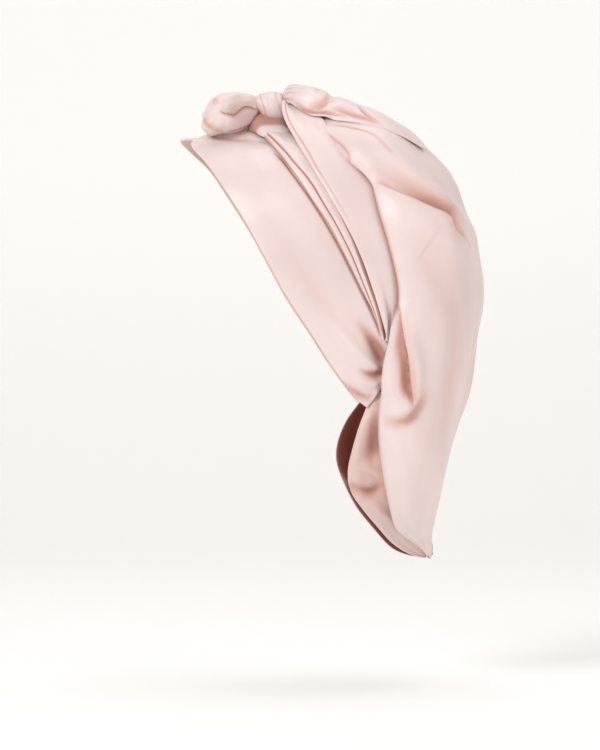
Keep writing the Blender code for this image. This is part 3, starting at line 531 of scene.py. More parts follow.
def evenly(grid, count):
    """Row numbers, whole and in between, that lie evenly spaced along a patch's mean row line."""
    step = np.linalg.norm(np.diff(grid, axis=0), axis=-1).mean(axis=1)
    run = np.concatenate([[0.0], np.cumsum(step)])
    return np.interp(np.linspace(0, run[-1], count), run, np.arange(len(run)))


def redrawn(grid, rows, columns):
    """A patch drawn again with more rows and columns, evenly spaced and smooth both ways."""
    grid = catmull(grid, evenly(grid, rows))
    turned = np.swapaxes(grid, 0, 1)
    return np.swapaxes(catmull(turned, evenly(turned, columns)), 0, 1)


def softened(values, passes):
    """Values along a line, each pass replacing one by the mean of itself and its neighbours."""
    values = np.array(values, float)
    for _ in range(passes):
        values[1:-1] = (values[:-2] + 2 * values[1:-1] + values[2:]) / 4
    return values


def nearest_of(points, others, block=400):
    """For each point the number of the nearest other one."""
    found = [
        ((points[k : k + block, None] - others[None]) ** 2).sum(-1).argmin(1)
        for k in range(0, len(points), block)
    ]
    return np.concatenate(found)


def rest_on(grid, below, gap):
    """Lifts a patch wherever it is less than a gap over the patches below it.

    Height over a lower patch is measured along the normal at its nearest point, and the lift fades
    out beyond the lower patch's edge. All patches are gone through twice.
    """
    fade_from, fade_run, too_far = 0.002, 0.005, 0.015
    for under in below + below:
        under = redrawn(under, 70, 50)
        points, outward = under.reshape(-1, 3), normals_of(under).reshape(-1, 3)
        flat = grid.reshape(-1, 3)
        nearest = nearest_of(flat, points)
        offset = flat - points[nearest]
        height = (offset * outward[nearest]).sum(-1)
        beside = np.linalg.norm(offset - height[:, None] * outward[nearest], axis=-1)
        near = 1 - ease((beside - fade_from) / fade_run)
        near = np.where(np.abs(height) < too_far, near, 0)
        lift = np.clip(gap - height, 0, None) * near
        grid = grid + (outward[nearest] * lift[:, None]).reshape(grid.shape)
    return grid


def mirrored(grid):
    """The same patch on the other side of the middle plane, still facing outwards."""
    return (grid * np.array([1, -1, 1]))[:, ::-1]


def ripples(grid, size, height, seed):
    """A patch with slow waves: a sum of six sines of the place, in seeded directions."""
    chance = np.random.default_rng(seed)
    wave = np.zeros(grid.shape[:2])
    for _ in range(6):
        direction = unit(chance.normal(size=3)) / size * chance.uniform(0.6, 1.5)
        wave = wave + np.sin((grid * direction).sum(-1) * 2 * math.pi + chance.uniform(0, 6.28))
    return grid + normals_of(grid) * (wave * height / 6)[..., None]


def fold_move(flat, outward, kind, rows):
    """Moves of all points for one fold, and how deep in painted shade each lies.

    The fold's line is laid on the patch along its normals. A ridge or valley is rise times
    bell(distance / reach), and a shaded crease is a thin valley with painted shade along it. A lap
    climbs steeply from its low side, where it digs a groove with painted shade in it, slides over
    that side, and dies away over its reach on the raised side. A valley's painted shade grows with its
    depth.
    """
    line = even_table(FOLD_COLUMNS, rows, FOLD_POINTS)
    raw = place(line["back"], line["down"], line["out"])
    nearest = nearest_of(raw, flat, 20)
    out = unit(softened(outward[nearest], FOLD_PASSES))
    offset = softened(((flat[nearest] - raw) * out).sum(-1), FOLD_PASSES)
    path = raw + out * offset[:, None]
    along = unit(np.gradient(path, axis=0))
    across = unit(np.cross(along, out))
    rise, reach = line["rise"] / 1000, np.maximum(line["reach"], 1) / 1000
    margin = 3 * reach.max()
    within = (flat > path.min(0) - margin) & (flat < path.max(0) + margin)
    inside = np.all(within, axis=1).nonzero()[0]
    points = flat[inside]
    near = nearest_of(points, path, 4000)
    offset = points - path[near]
    side = (offset * across[near]).sum(-1)
    beyond = (offset * along[near]).sum(-1)
    fade = bell(beyond / reach[near]) * ease((outward[inside] * out[near]).sum(-1) / 0.4)
    height, wide = rise[near] * fade, reach[near]
    # Each kind paints shade into the colour: in a lap's groove, along a shaded crease and in a valley.
    move, shade = np.zeros_like(flat), np.zeros(len(flat))
    if kind == "lap":
        edge = np.clip(0.13 * wide, 0.0006, 0.0022)
        climb = 0.5 + 0.5 * np.tanh(1.2 * side / edge)
        up = height * (climb * bell(np.clip(side, 0, None) / wide))
        groove = bell((side + 1.1 * edge) / (1.4 * edge))
        up = up - LAP_GROOVE * height * groove
        slide = -LAP_SLIDE * height * (side / edge) * np.exp(0.5 - 0.5 * (side / edge) ** 2)
        move[inside] = outward[inside] * up[:, None] + across[near] * slide[:, None]
        shade[inside] = groove * np.clip(height / np.clip(wide / 2.5, 0.001, 0.006), 0, 1)
    elif kind == "shaded_crease":
        up = -height * bell(side / wide)
        move[inside] = outward[inside] * up[:, None]
        shade[inside] = bell(side / wide) * np.clip(height / 0.0006, 0, 1)
    else:
        up = height * bell(side / wide)
        move[inside] = outward[inside] * up[:, None]
        shade[inside] = 0.75 * np.clip(-up / (0.9 * wide), 0, 1)
    return move, shade


def folded(grid, folds):
    """A patch with all its folds, and the painted shade in them."""
    flat, outward = grid.reshape(-1, 3), normals_of(grid).reshape(-1, 3)
    moves = [fold_move(flat, outward, kind, rows) for kind, rows in folds]
    move = sum(one for one, _ in moves)
    shade = np.max([one for _, one in moves], axis=0)
    return (flat + move).reshape(grid.shape), shade.reshape(grid.shape[:2])


def laid(grid, folds):
    """Folds given without their out column, laid on the near side of a rounded piece."""
    flat = grid.reshape(-1, 3)
    flat = flat[flat[:, 1] < flat[:, 1].mean()]
    whole = []
    for kind, rows in folds:
        rows = np.array(rows)
        seen = place(rows[:, 0], rows[:, 1], 0.0)[:, [0, 2]]
        found = flat[nearest_of(seen, flat[:, [0, 2]])]
        out = -found[:, 1] / bonnet().half_width
        whole.append((kind, np.column_stack([rows[:, :2], out, rows[:, 2:]])))
    return tuple(whole)


def side_of(folds, side):
    """Folds of the left side, or the same ones on the right side, walked the other way."""
    if side == "left":
        return folds
    return tuple(
        (kind, tuple((back, down, -out, rise, reach) for back, down, out, rise, reach in rows[::-1]))
        for kind, rows in folds
    )


def waved(grid, height, waves, seed):
    """A patch with slow uneven waves across its columns: a sum of sines of both shares, seeded."""
    chance = np.random.default_rng(seed)
    down, across = np.meshgrid(*(np.linspace(0, 1, n) for n in grid.shape[:2]), indexing="ij")
    lift = np.zeros(grid.shape[:2])
    for _ in range(8):
        count, drift = chance.uniform(*waves), chance.uniform(-1.6, 1.6)
        lift = lift + np.sin(2 * math.pi * (count * across + drift * down + chance.uniform(0, 1)))
    return grid + normals_of(grid) * (lift * height / 3)[..., None]


def cloth_lengths(grid):
    """The weave's own coordinates in metres: the mean run along the columns and along the rows."""
    rows = np.linalg.norm(np.diff(grid, axis=0), axis=-1).mean(axis=1)
    columns = np.linalg.norm(np.diff(grid, axis=1), axis=-1).mean(axis=0)
    down = np.concatenate([[0.0], np.cumsum(rows)])
    across = np.concatenate([[0.0], np.cumsum(columns)])
    return np.stack(np.meshgrid(across, down), axis=-1)


def add_piece(name, points, faces, weave, shade, material, node):
    """A mesh object with its weave coordinates, its shade attribute and its material, riding on root."""
    mesh = bpy.data.meshes.new(name)
    mesh.from_pydata(points.tolist(), [], faces)
    mesh.validate()
    mesh.shade_smooth()
    corner = np.zeros(len(mesh.loops), int)
    mesh.loops.foreach_get("vertex_index", corner)
    layer = mesh.uv_layers.new(name="weave")
    layer.data.foreach_set("uv", weave[corner].astype(np.float32).ravel())
    # The shade attribute holds painted shade, which darkens the satin's colour.
    depth = mesh.attributes.new("shade", "FLOAT", "POINT")
    depth.data.foreach_set("value", shade.astype(np.float32))
    mesh.materials.append(material)
    piece = bpy.data.objects.new(name, mesh)
    bpy.context.scene.collection.objects.link(piece)
    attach(piece, "root")
    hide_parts(node)
    return piece


def border(rows, columns, step=1):
    """Numbers of a grid's border points, once round."""
    number = np.arange(rows * columns).reshape(rows, columns)
    return np.concatenate(
        [number[:-1:step, 0], number[-1, :-1:step], number[:0:-step, -1], number[0, :0:-step]]
    )


def quads(number):
    """The four-sided faces of a grid of point numbers."""
    corners = [number[:-1, :-1], number[1:, :-1], number[1:, 1:], number[:-1, 1:]]
    return np.stack(corners, -1).reshape(-1, 4)


def cloth(name, outer, inner, shade, node, material, inside=0.75):
    """One closed sheet: the outer patch, the inner one, and a half-round rim between their borders.

    The rim's strips turn about the middle of the two borders, half their distance away from it.
    The inner patch keeps fewer rows and columns than the outer one, and one painted shade all over.
    """
    step = INNER_STEP
    rows, columns = outer.shape[:2]
    number = np.arange(rows * columns).reshape(rows, columns)
    less = inner[::step, ::step]
    inner_rows, inner_columns = less.shape[:2]
    start = rows * columns
    other = start + np.arange(inner_rows * inner_columns).reshape(inner_rows, inner_columns)
    edge = border(rows, columns)
    flat_outer, flat_inner = outer.reshape(-1, 3), inner.reshape(-1, 3)
    inward = np.clip(np.stack(np.divmod(edge, columns), -1), 1, [rows - 2, columns - 2])
    away = unit(flat_outer[edge] - outer[inward[:, 0], inward[:, 1]])
    middle = (flat_outer[edge] + flat_inner[edge]) / 2
    half = (flat_outer[edge] - flat_inner[edge]) / 2
    turns = [math.pi * k / RIM_STRIPS for k in range(1, RIM_STRIPS)]
    reach = np.linalg.norm(half, axis=-1, keepdims=True)
    rings = [middle + half * math.cos(a) + away * reach * math.sin(a) for a in turns]
    ring_start = start + inner_rows * inner_columns
    count = len(edge)
    strips = [edge] + [ring_start + k * count + np.arange(count) for k in range(len(rings))]
    side = [
        np.stack([a, b, np.roll(b, -1), np.roll(a, -1)], axis=-1) for a, b in zip(strips[:-1], strips[1:])
    ]
    faces = np.concatenate([quads(number), quads(other)[:, [0, 3, 2, 1]], *side]).tolist()
    last, under = strips[-1], start + border(inner_rows, inner_columns)
    wrapped = np.append(last, last[0])
    for k in range(len(under)):
        fan = wrapped[k * step : (k + 1) * step + 1][::-1].tolist()
        faces.append([int(under[k]), int(under[(k + 1) % len(under)])] + [int(p) for p in fan])
    points = np.concatenate([flat_outer, less.reshape(-1, 3), *rings])
    lengths = cloth_lengths(outer)
    flat_lengths, fewer_lengths = lengths.reshape(-1, 2), lengths[::step, ::step].reshape(-1, 2)
    weave = np.concatenate([flat_lengths, fewer_lengths] + [flat_lengths[edge]] * len(rings))
    # Painted shade: one value all over the inner side, and the outer edge's values on the rim.
    within = np.full(inner_rows * inner_columns, inside)
    depth = np.concatenate([shade.ravel(), within] + [shade.ravel()[edge]] * len(rings))
    return add_piece(name, points, faces, weave, depth, material, node)


def tube(name, rings, shade, node, material):
    """One closed solid through rings of points, closed at each end by a fan round its middle."""
    count, around = rings.shape[:2]
    number = np.arange(count * around).reshape(count, around)
    after = np.roll(number, -1, axis=1)
    side = np.stack([number[:-1], after[:-1], after[1:], number[1:]], axis=-1).reshape(-1, 4).tolist()
    first, last = count * around, count * around + 1
    start = np.stack([np.full(around, first), after[0], number[0]], -1)
    end = np.stack([np.full(around, last), number[-1], after[-1]], -1)
    points = np.concatenate([rings.reshape(-1, 3), rings[0].mean(0)[None], rings[-1].mean(0)[None]])
    closed = np.concatenate([rings, rings[:, :1]], axis=1)
    lengths = cloth_lengths(closed)[:, :around].reshape(-1, 2)
    weave = np.concatenate([lengths, lengths[:1], lengths[-1:]])
    depth = np.concatenate([shade.ravel(), [0.0, 0.0]])
    faces = side + start.tolist() + end.tolist()
    return add_piece(name, points, faces, weave, depth, material, node)


def bowed(front, rear, columns, crown):
    """Cloth drawn from a front edge to a rear edge, bowed away from the middle of the head."""
    share = np.linspace(0, 1, columns)[None, :, None]
    flat = front[:, None] * (1 - share) + rear[:, None] * share
    reach = np.linalg.norm(rear - front, axis=-1)[:, None, None]
    full = np.clip(reach / reach.max(), 0, 1) ** 2
    return flat + unit(flat - place(*HEAD_MIDDLE)) * crown * full * 6.75 * share * (1 - share) ** 2


def band_patch(side, rows=24, columns=6):
    """The wide band of one side: smooth cloth from the forehead edge to the pleats."""
    at = even_rows(BAND_ROWS, rows)
    table = read_table(BAND_COLUMNS, BAND_ROWS, at)
    reach = 0.0
    if side == "right":
        reach = RIGHT_BAND_REACH * ease(1 - np.abs(at - RIGHT_BAND_PEAK) / 2.2)
    front = place(table["front_back"] - reach, table["front_down"] - reach / 3, table["front_out"])
    patch = bowed(front, line_of(table, "rear"), columns, bonnet().band_crown)
    return mirrored(patch) if side == "right" else patch


def pleat_patch(side, rows=22, columns=9):
    """The flat cloth that the narrow pleats of one side are folded from."""
    table = even_table(PLEAT_COLUMNS, PLEAT_ROWS, rows)
    first, strap = line_of(table, "first"), line_of(table, "strap")
    share = np.linspace(0, 1, columns)[None, :, None]
    patch = first[:, None] * (1 - share) + strap[:, None] * share
    return mirrored(patch) if side == "right" else patch


def pleat_lift(share, table, length):
    """Height of two pleats over the cloth below, and the painted shadow line at the foot of each.

    A pleat climbs as a quarter round from its folded edge and is fullest just behind it. The line
    is bell(distance from the edge / 0.4 mm).
    """
    climb_run, full_run = 0.0011, 0.0024
    lift, shade = np.zeros((2, len(length), share.shape[1]))
    for start in (0.0 * length, table["second_pleat"][:, None]):
        run = (share - start) * length
        climb = np.clip(run / climb_run, 0, 1)
        lift = lift + np.sqrt(1 - (1 - climb) ** 2)
        full = 0.5 * run / full_run * np.exp(1 - np.clip(run, 0, None) / full_run)
        lift = lift + np.where(run > 0, full, 0)
        foot = bell((run + 0.0001) / 0.0004)
        lift = lift - 0.3 * foot
        shade = np.maximum(shade, foot)
    return lift * table["full"][:, None], shade * table["full"][:, None]


def strap_patch(side, rows=22, columns=7):
    """The side strap between its two edges, puffed out as 4 s (1 - s) across it."""
    table = even_table(STRAP_COLUMNS, STRAP_ROWS, rows)
    front, rear = line_of(table, "front"), line_of(table, "rear")
    share = np.linspace(0, 1, columns)[None, :]
    flat = front[:, None] * (1 - share[..., None]) + rear[:, None] * share[..., None]
    lift = 0.0006 + 0.0048 * (1 - share) ** 2
    lift = lift + bonnet().strap_puff * table["puff"][:, None] * 4 * share * (1 - share)
    if side == "right":
        flat, lift = mirrored(flat), lift[:, ::-1]
    outward = unit(flat - place(*HEAD_MIDDLE))
    return flat + outward * lift[..., None]


def sections(table, turn):
    """The bag's cross sections, each a U from the left edge round the spine to the right edge.

    Across a section the cloth goes back as sin(turn) ** (2 / n) and out as cos(turn) ** (2 / n),
    and at its two edges it is tucked in over a quarter of an ellipse.
    """
    sizes = bonnet()
    quarter = (1 - np.abs(turn))[None, :] * math.pi / 2
    power = 2 / table["squareness"][:, None]
    go_back = np.sin(quarter) ** power
    go_out = np.cos(quarter) ** power
    edge = place(table["edge_back"], table["edge_down"], 0.0)[:, None]
    spine = place(table["spine_back"], table["spine_down"], 0.0)[:, None]
    grid = edge + (spine - edge) * go_back[..., None]
    run = np.clip(np.linalg.norm(spine - edge, axis=-1) * go_back / sizes.edge_roll, 0, 1)
    tuck = (table["half_width"] - table["edge_out"])[:, None] * (1 - np.sqrt(1 - (1 - run) ** 2))
    grid[..., 1] = np.sign(turn) * sizes.half_width * (table["half_width"][:, None] * go_out - tuck)
    return grid


def bag_patch(rows, turn):
    return sections(read_table(BAG_COLUMNS, BAG_ROWS, rows), turn)


def nape_patch(rows=30, columns=4):
    """The nape panel from its hem to where the bag covers it."""
    table = even_table(PANEL_COLUMNS, PANEL_ROWS, rows)
    hem, rear = line_of(table, "hem")[:, None], line_of(table, "rear")[:, None]
    share = np.linspace(0, 1, columns)[None, :, None]
    return hem * (1 - share) + rear * share


def drape_patch(rows=14, columns=12):
    """The tie's rear loop, spread over the top of the bag: an arch from its left to its right edge."""
    table = even_table(DRAPE_COLUMNS, DRAPE_ROWS, rows)
    near, crest, far = (line_of(table, name)[:, None] for name in ("near", "crest", "far"))
    turn = np.linspace(0, math.pi, columns)[None, :, None]
    across = (1 - np.cos(turn)) / 2
    base = near * (1 - across) + far * across
    return base + (crest - (near + far) / 2) * np.sin(turn)


def layers(side):
    """The coarse patches of one side, each resting on those below it."""
    wall = bonnet().wall
    band = band_patch(side)
    pleats = rest_on(pleat_patch(side), [band], LAYER_GAP)
    pleat_outer = pleats + normals_of(pleats) * PLEATS_HIGH
    crown_rows = even_rows(BAG_ROWS, BAG_COARSE_GRID[0])[:10]
    crown = bag_patch(crown_rows, np.linspace(-1, 1, 41))
    strap = rest_on(strap_patch(side), [band, pleat_outer, crown], STRAP_GAP)
    return {"pleats": pleats, "strap": strap, "strap_outer": strap + normals_of(strap) * wall}


def satin_group():
    """Satin's own detail: colour with painted shade in folds and streaks, uneven roughness, and its weave's
    height.
    """
    old = bpy.data.node_groups.get("satin_detail")
    if old:
        return old
    group = bpy.data.node_groups.new("satin_detail", "ShaderNodeTree")
    face = group.interface
    # The second and third colours are painted shade, which the shade attribute mixes into the satin.
    for title, kind, value in (
        ("Satin", "Color", (0.8, 0.6, 0.55, 1)),
        ("Fold Shade", "Color", (0.6, 0.3, 0.25, 1)),
        ("Deep Shade", "Color", (0.2, 0.05, 0.03, 1)),
        ("Roughness", "Float", 0.4),
        ("Thread", "Float", 0.0004),
    ):
        face.new_socket(title, in_out="INPUT", socket_type="NodeSocket" + kind).default_value = value
    for title, kind in (("Colour", "Color"), ("Roughness", "Float"), ("Height", "Float")):
        face.new_socket(title, in_out="OUTPUT", socket_type="NodeSocket" + kind)
    nodes, links = group.nodes, group.links
    given, put = nodes.new("NodeGroupInput"), nodes.new("NodeGroupOutput")
    weave = nodes.new("ShaderNodeUVMap")
    weave.uv_map = "weave"
    spot = nodes.new("ShaderNodeTexCoord")
    shade = nodes.new("ShaderNodeAttribute")
    shade.attribute_name = "shade"

    def maths(operation, first, second=None, third=None):
        node = nodes.new("ShaderNodeMath")
        node.operation = operation
        for socket, value in zip(node.inputs, (first, second, third)):
            if hasattr(value, "links"):
                links.new(value, socket)
            elif value is not None:
                socket.default_value = value
        return node.outputs[0]

    def noise(place, scale, detail, stretch=(1, 1, 1)):
        turn = nodes.new("ShaderNodeMapping")
        turn.inputs["Scale"].default_value = stretch
        links.new(place, turn.inputs["Vector"])
        node = nodes.new("ShaderNodeTexNoise")
        node.inputs["Scale"].default_value = scale
        node.inputs["Detail"].default_value = detail
        links.new(turn.outputs[0], node.inputs["Vector"])
        return node.outputs["Fac"]

    cloud = noise(spot.outputs["Object"], 22, 3)
    streak = noise(weave.outputs[0], 45, 3, (1, 0.22, 1))
    slub = noise(weave.outputs[0], 900, 2, (0.08, 1, 1))
    split = nodes.new("ShaderNodeSeparateXYZ")
    links.new(weave.outputs[0], split.inputs[0])
    across = maths("DIVIDE", split.outputs["X"], given.outputs["Thread"])
    along = maths("DIVIDE", split.outputs["Y"], given.outputs["Thread"])
    diagonal = maths("SINE", maths("MULTIPLY", maths("MULTIPLY_ADD", along, 0.2, across), 6.2832))

    def blend(share, first, second):
        node = nodes.new("ShaderNodeMix")
        node.data_type = "RGBA"
        links.new(share, node.inputs[0])
        links.new(first, node.inputs[6])
        links.new(second, node.inputs[7])
        return node.outputs[2]

    # Painted shade: the shade attribute and the streaks mix the satin towards the fold colour, and towards
    # the deep colour past it.
    soft = maths("MULTIPLY_ADD", streak, 0.36, -0.15)
    painted_shade_mix = maths("MULTIPLY_ADD", shade.outputs["Fac"], 1.6, maths("MAXIMUM", soft, 0.0))
    folds = blend(painted_shade_mix, given.outputs["Satin"], given.outputs["Fold Shade"])
    deep = blend(maths("MULTIPLY_ADD", shade.outputs["Fac"], 1.6, -1.0), folds, given.outputs["Deep Shade"])
    # The cloud makes brightness differ at random and also stands in for painted sheen on the satin.
    tone = nodes.new("ShaderNodeHueSaturation")
    links.new(deep, tone.inputs["Color"])
    links.new(maths("MULTIPLY_ADD", cloud, 0.22, 0.87), tone.inputs["Value"])
    links.new(maths("MULTIPLY_ADD", streak, 0.12, 0.94), tone.inputs["Saturation"])
    links.new(tone.outputs[0], put.inputs["Colour"])
    uneven = maths("MULTIPLY_ADD", slub, 0.12, -0.06)
    links.new(maths("ADD", given.outputs["Roughness"], uneven), put.inputs["Roughness"])
    fine = maths("MULTIPLY_ADD", diagonal, 0.02, maths("MULTIPLY", slub, 0.04))
    links.new(maths("MULTIPLY_ADD", streak, 0.55, fine), put.inputs["Height"])
    return group


def satin(name):
    """Satin for one piece, in the bonnet's colours."""
    look = bpy.context.scene.bonnet_satin
    material = bpy.data.materials.new(name)
    material.use_nodes = True
    nodes, links = material.node_tree.nodes, material.node_tree.links
    shader = nodes["Principled BSDF"]
    detail = nodes.new("ShaderNodeGroup")
    detail.node_tree = satin_group()
    for title, value in (
        ("Satin", (*look.colour, 1)),
        ("Fold Shade", (*look.fold_shade_colour, 1)),
        ("Deep Shade", (*look.deep_shade_colour, 1)),
        ("Roughness", look.roughness),
        ("Thread", look.thread),
    ):
        detail.inputs[title].default_value = value
    bump = nodes.new("ShaderNodeBump")
    bump.inputs["Strength"].default_value = 0.5
    bump.inputs["Distance"].default_value = 0.0012
    links.new(detail.outputs["Colour"], shader.inputs["Base Color"])
    links.new(detail.outputs["Roughness"], shader.inputs["Roughness"])
    links.new(detail.outputs["Height"], bump.inputs["Height"])
    links.new(bump.outputs[0], shader.inputs["Normal"])
    for title, value in (("Sheen Weight", 0.12), ("Sheen Roughness", 0.4), ("Specular IOR Level", 0.5)):
        shader.inputs[title].default_value = value
    return material


class BonnetSizes(bpy.types.PropertyGroup):
    """Sizes of the bonnet."""

    depth: bpy.props.FloatProperty(
        name="Depth", description="Forehead edge to the back of the bag", default=0.218, unit="LENGTH"
    )
    drop: bpy.props.FloatProperty(
        name="Drop", description="Top of the knot to the tip of the bag", default=0.340, unit="LENGTH"
    )
    half_width: bpy.props.FloatProperty(
        name="Half Width", description="Middle plane to the fullest side", default=0.086, unit="LENGTH"
    )
    seat_back: bpy.props.FloatProperty(
        name="Seat Back", description="Forehead edge to the crown of the head", default=0.0878, unit="LENGTH"
    )
    seat_down: bpy.props.FloatProperty(
        name="Seat Down", description="Top of the knot to the head's crown", default=0.0299, unit="LENGTH"
    )
    wall: bpy.props.FloatProperty(
        name="Wall", description="Thickness of the doubled satin", default=0.0016, unit="LENGTH"
    )
    band_crown: bpy.props.FloatProperty(
        name="Band Crown", description="How far the band bows out", default=0.0028, unit="LENGTH"
    )
    pleat_step: bpy.props.FloatProperty(
        name="Pleat Step", description="Height of one pleat", default=0.0015, unit="LENGTH"
    )
    strap_puff: bpy.props.FloatProperty(
        name="Strap Puff", description="How far a side strap puffs out", default=0.0026, unit="LENGTH"
    )
    edge_roll: bpy.props.FloatProperty(
        name="Edge Roll", description="Run of the bag's rolled edge", default=0.014, unit="LENGTH"
    )
    loop_half_width: bpy.props.FloatProperty(
        name="Loop Half Width", description="Half the front loop's width", default=0.0145, unit="LENGTH"
    )
    knot_width: bpy.props.FloatProperty(
        name="Knot Width", description="Width of the knot across the tie", default=0.0270, unit="LENGTH"
    )


class BonnetSatin(bpy.types.PropertyGroup):
    """Colours and finish of the satin, with its painted shade colours."""

    colour: bpy.props.FloatVectorProperty(
        name="Satin", description="Colour of the satin",
        default=(0.82, 0.69, 0.672), subtype="COLOR", min=0, max=1,
    )
    # The two colours below are painted shade, mixed into the satin where the shade attribute is high.
    fold_shade_colour: bpy.props.FloatVectorProperty(
        name="Folds", description="Painted shade colour in folds",
        default=(0.67, 0.38, 0.32), subtype="COLOR", min=0, max=1,
    )
    deep_shade_colour: bpy.props.FloatVectorProperty(
        name="Deep Folds", description="Painted shade colour in deep folds",
        default=(0.17, 0.045, 0.03), subtype="COLOR", min=0, max=1,
    )
    roughness: bpy.props.FloatProperty(
        name="Roughness", description="Roughness of the satin", default=0.33, subtype="FACTOR", min=0, max=1
    )
    thread: bpy.props.FloatProperty(
        name="Thread", description="Spacing of the weave's threads", default=0.0004, unit="LENGTH"
    )


class BONNET_OT_bands(bpy.types.Operator):
    """Makes the wide brow band of each side"""

    bl_idname = "bonnet.bands"
    bl_label = "Brow Bands"

    def execute(self, context):
        wall = bonnet().wall
        for side in ("left", "right"):
            outer = redrawn(band_patch(side, rows=60, columns=13), *BAND_GRID)
            base = normals_of(outer)
            outer = waved(outer, height=0.0002, waves=(1, 2.5), seed=11)
            outer, shade = folded(outer, side_of(BAND_FOLDS, side))
            piece = cloth(
                "band_" + side, outer, outer - base * wall, shade, inside=0.3,
                node="brow_band_" + side, material=satin("band_satin_" + side),
            )
        return {"FINISHED"}


class BONNET_OT_pleats(bpy.types.Operator):
    """Makes the two narrow pleats of each side"""

    bl_idname = "bonnet.pleats"
    bl_label = "Side Pleats"

    def execute(self, context):
        for side in ("left", "right"):
            coarse = layers(side)["pleats"]
            at = evenly(coarse, PLEAT_GRID[0]) * (len(PLEAT_ROWS) - 1) / (len(coarse) - 1)
            flat = redrawn(coarse, *PLEAT_GRID)
            table = read_table(PLEAT_COLUMNS, PLEAT_ROWS, at)
            share = np.linspace(0, 1, PLEAT_GRID[1])[None, :]
            length = np.linalg.norm(flat[:, -1] - flat[:, 0], axis=-1)[:, None]
            lift, shade = pleat_lift(share, table, length)
            # Painted shadow on the pleats where the strap's edge lies over them.
            shade = np.maximum(shade, 0.8 * ease((share - 0.84) / 0.12) * np.ones_like(length))
            if side == "right":
                lift, shade = lift[:, ::-1], shade[:, ::-1]
            outer = flat + normals_of(flat) * (lift * bonnet().pleat_step + PLEAT_BASE)[..., None]
            piece = cloth(
                "pleats_" + side, outer, flat, shade,
                node="side_pleats_" + side, material=satin("pleat_satin_" + side),
            )
        return {"FINISHED"}


class BONNET_OT_straps(bpy.types.Operator):
    """Makes the side strap of each side, a wide tail of the tie"""

    bl_idname = "bonnet.straps"
    bl_label = "Side Straps"

    def execute(self, context):
        wall = bonnet().wall
        for side in ("left", "right"):
            rows, columns = STRAP_GRID
            inner = redrawn(layers(side)["strap"], rows, columns)
            share = np.linspace(0, 1, columns)[None, :]
            share = share if side == "left" else 1 - share
            run = share * np.linalg.norm(inner[:, -1] - inner[:, 0], axis=-1)[:, None]
            # The hem is a small dent with painted shade in it, fading down the strap.
            hem = bell((run - 0.0020) / 0.0006) * (1 - ease(np.linspace(-0.6, 1.6, rows)))[:, None]
            lift = wall - 0.0004 * hem + 0.0005 * bell(run / 0.0016)
            outer = waved(inner, height=0.0003, waves=(1, 2), seed=21)
            outer = outer + normals_of(inner) * lift[..., None]
            # Painted shadow on the strap's rear part, lower down, where the bag's edge lies over it.
            low = ease(np.linspace(-0.9, 1.7, rows))[:, None]
            shade = np.maximum(0.6 * hem, 0.5 * low * ease((share - 0.62) / 0.22))
            piece = cloth(
                "strap_" + side, outer, inner, shade,
                node="side_strap_" + side, material=satin("strap_satin_" + side),
            )
        return {"FINISHED"}


class BONNET_OT_nape_panel(bpy.types.Operator):
    """Makes the nape panel from one band's end to the other's"""

    bl_idname = "bonnet.nape_panel"
    bl_label = "Nape Panel"

    def execute(self, context):
        outer = redrawn(nape_patch(rows=60, columns=5), *PANEL_GRID)
        base = normals_of(outer)
        outer = waved(outer, height=0.0004, waves=(1, 3), seed=31)
        outer, shade = folded(outer, NAPE_FOLDS + side_of(NAPE_FOLDS, "right"))
        # Painted shade all over the panel, which lies under the bag: darker towards its rear edge and in its
        # valleys, with two lighter bands of painted light down its length; its inner side gets deep painted
        # shade.
        low = np.linspace(0, 1, PANEL_GRID[0])[:, None]
        share = np.linspace(0, 1, PANEL_GRID[1])[None, :]
        light = bell((low - 0.40) / 0.10) + bell((low - 0.62) / 0.10)
        shade = np.clip(0.85 * shade + (0.26 + 0.24 * ease(share * 1.2)) * (1 - 0.55 * light), 0, 1)
        piece = cloth(
            "nape", outer, outer - base * PANEL_WALL, shade, inside=1.5,
            node="nape_panel", material=satin("nape_satin"),
        )
        return {"FINISHED"}


class BONNET_OT_bag(bpy.types.Operator):
    """Makes the long bag with its folds"""

    bl_idname = "bonnet.bag"
    bl_label = "Bag"

    def execute(self, context):
        wall = bonnet().wall
        coarse_rows, coarse_columns = BAG_COARSE_GRID
        rows = even_rows(BAG_ROWS, coarse_rows)
        coarse = bag_patch(rows, np.linspace(-1, 1, coarse_columns))
        flat = coarse - normals_of(coarse) * wall
        under = [layers(side)["strap_outer"][7:] for side in ("left", "right")] + [nape_patch()]
        lift = rest_on(flat, under, LAYER_GAP) - flat
        fine_rows = evenly(coarse, BAG_FINE_ROWS) * rows[-1] / (coarse_rows - 1)
        left = np.linspace(-1, 0, BAG_LEFT_COLUMNS)[:-1]
        turn = np.concatenate([left, np.linspace(0, 1, BAG_RIGHT_COLUMNS)])
        lift = catmull(lift, fine_rows * (coarse_rows - 1) / rows[-1])
        lift = catmull(np.swapaxes(lift, 0, 1), (turn + 1) * ((coarse_columns - 1) / 2))
        outer = bag_patch(fine_rows, turn) + np.swapaxes(lift, 0, 1)
        base = normals_of(outer)
        outer = ripples(outer, size=0.07, height=0.0025, seed=5)
        outer, shade = folded(waved(outer, height=0.0004, waves=(2, 6), seed=8), BAG_FOLDS)
        # The bag's edge gets a painted shadow line where it lies over the strap, between these rows of its
        # table.
        over_from, over_to = 4, 8.2
        over = ease((fine_rows - over_from) / 0.6) * (1 - ease((fine_rows - over_to) / 0.8))
        near_edge = bell((1 - np.abs(turn)) / 0.006)
        shade = np.maximum(shade, over[:, None] * near_edge[None, :])
        piece = cloth(
            "bag_satin", outer, outer - base * wall, shade, node="bag", material=satin("bag_satin")
        )
        return {"FINISHED"}


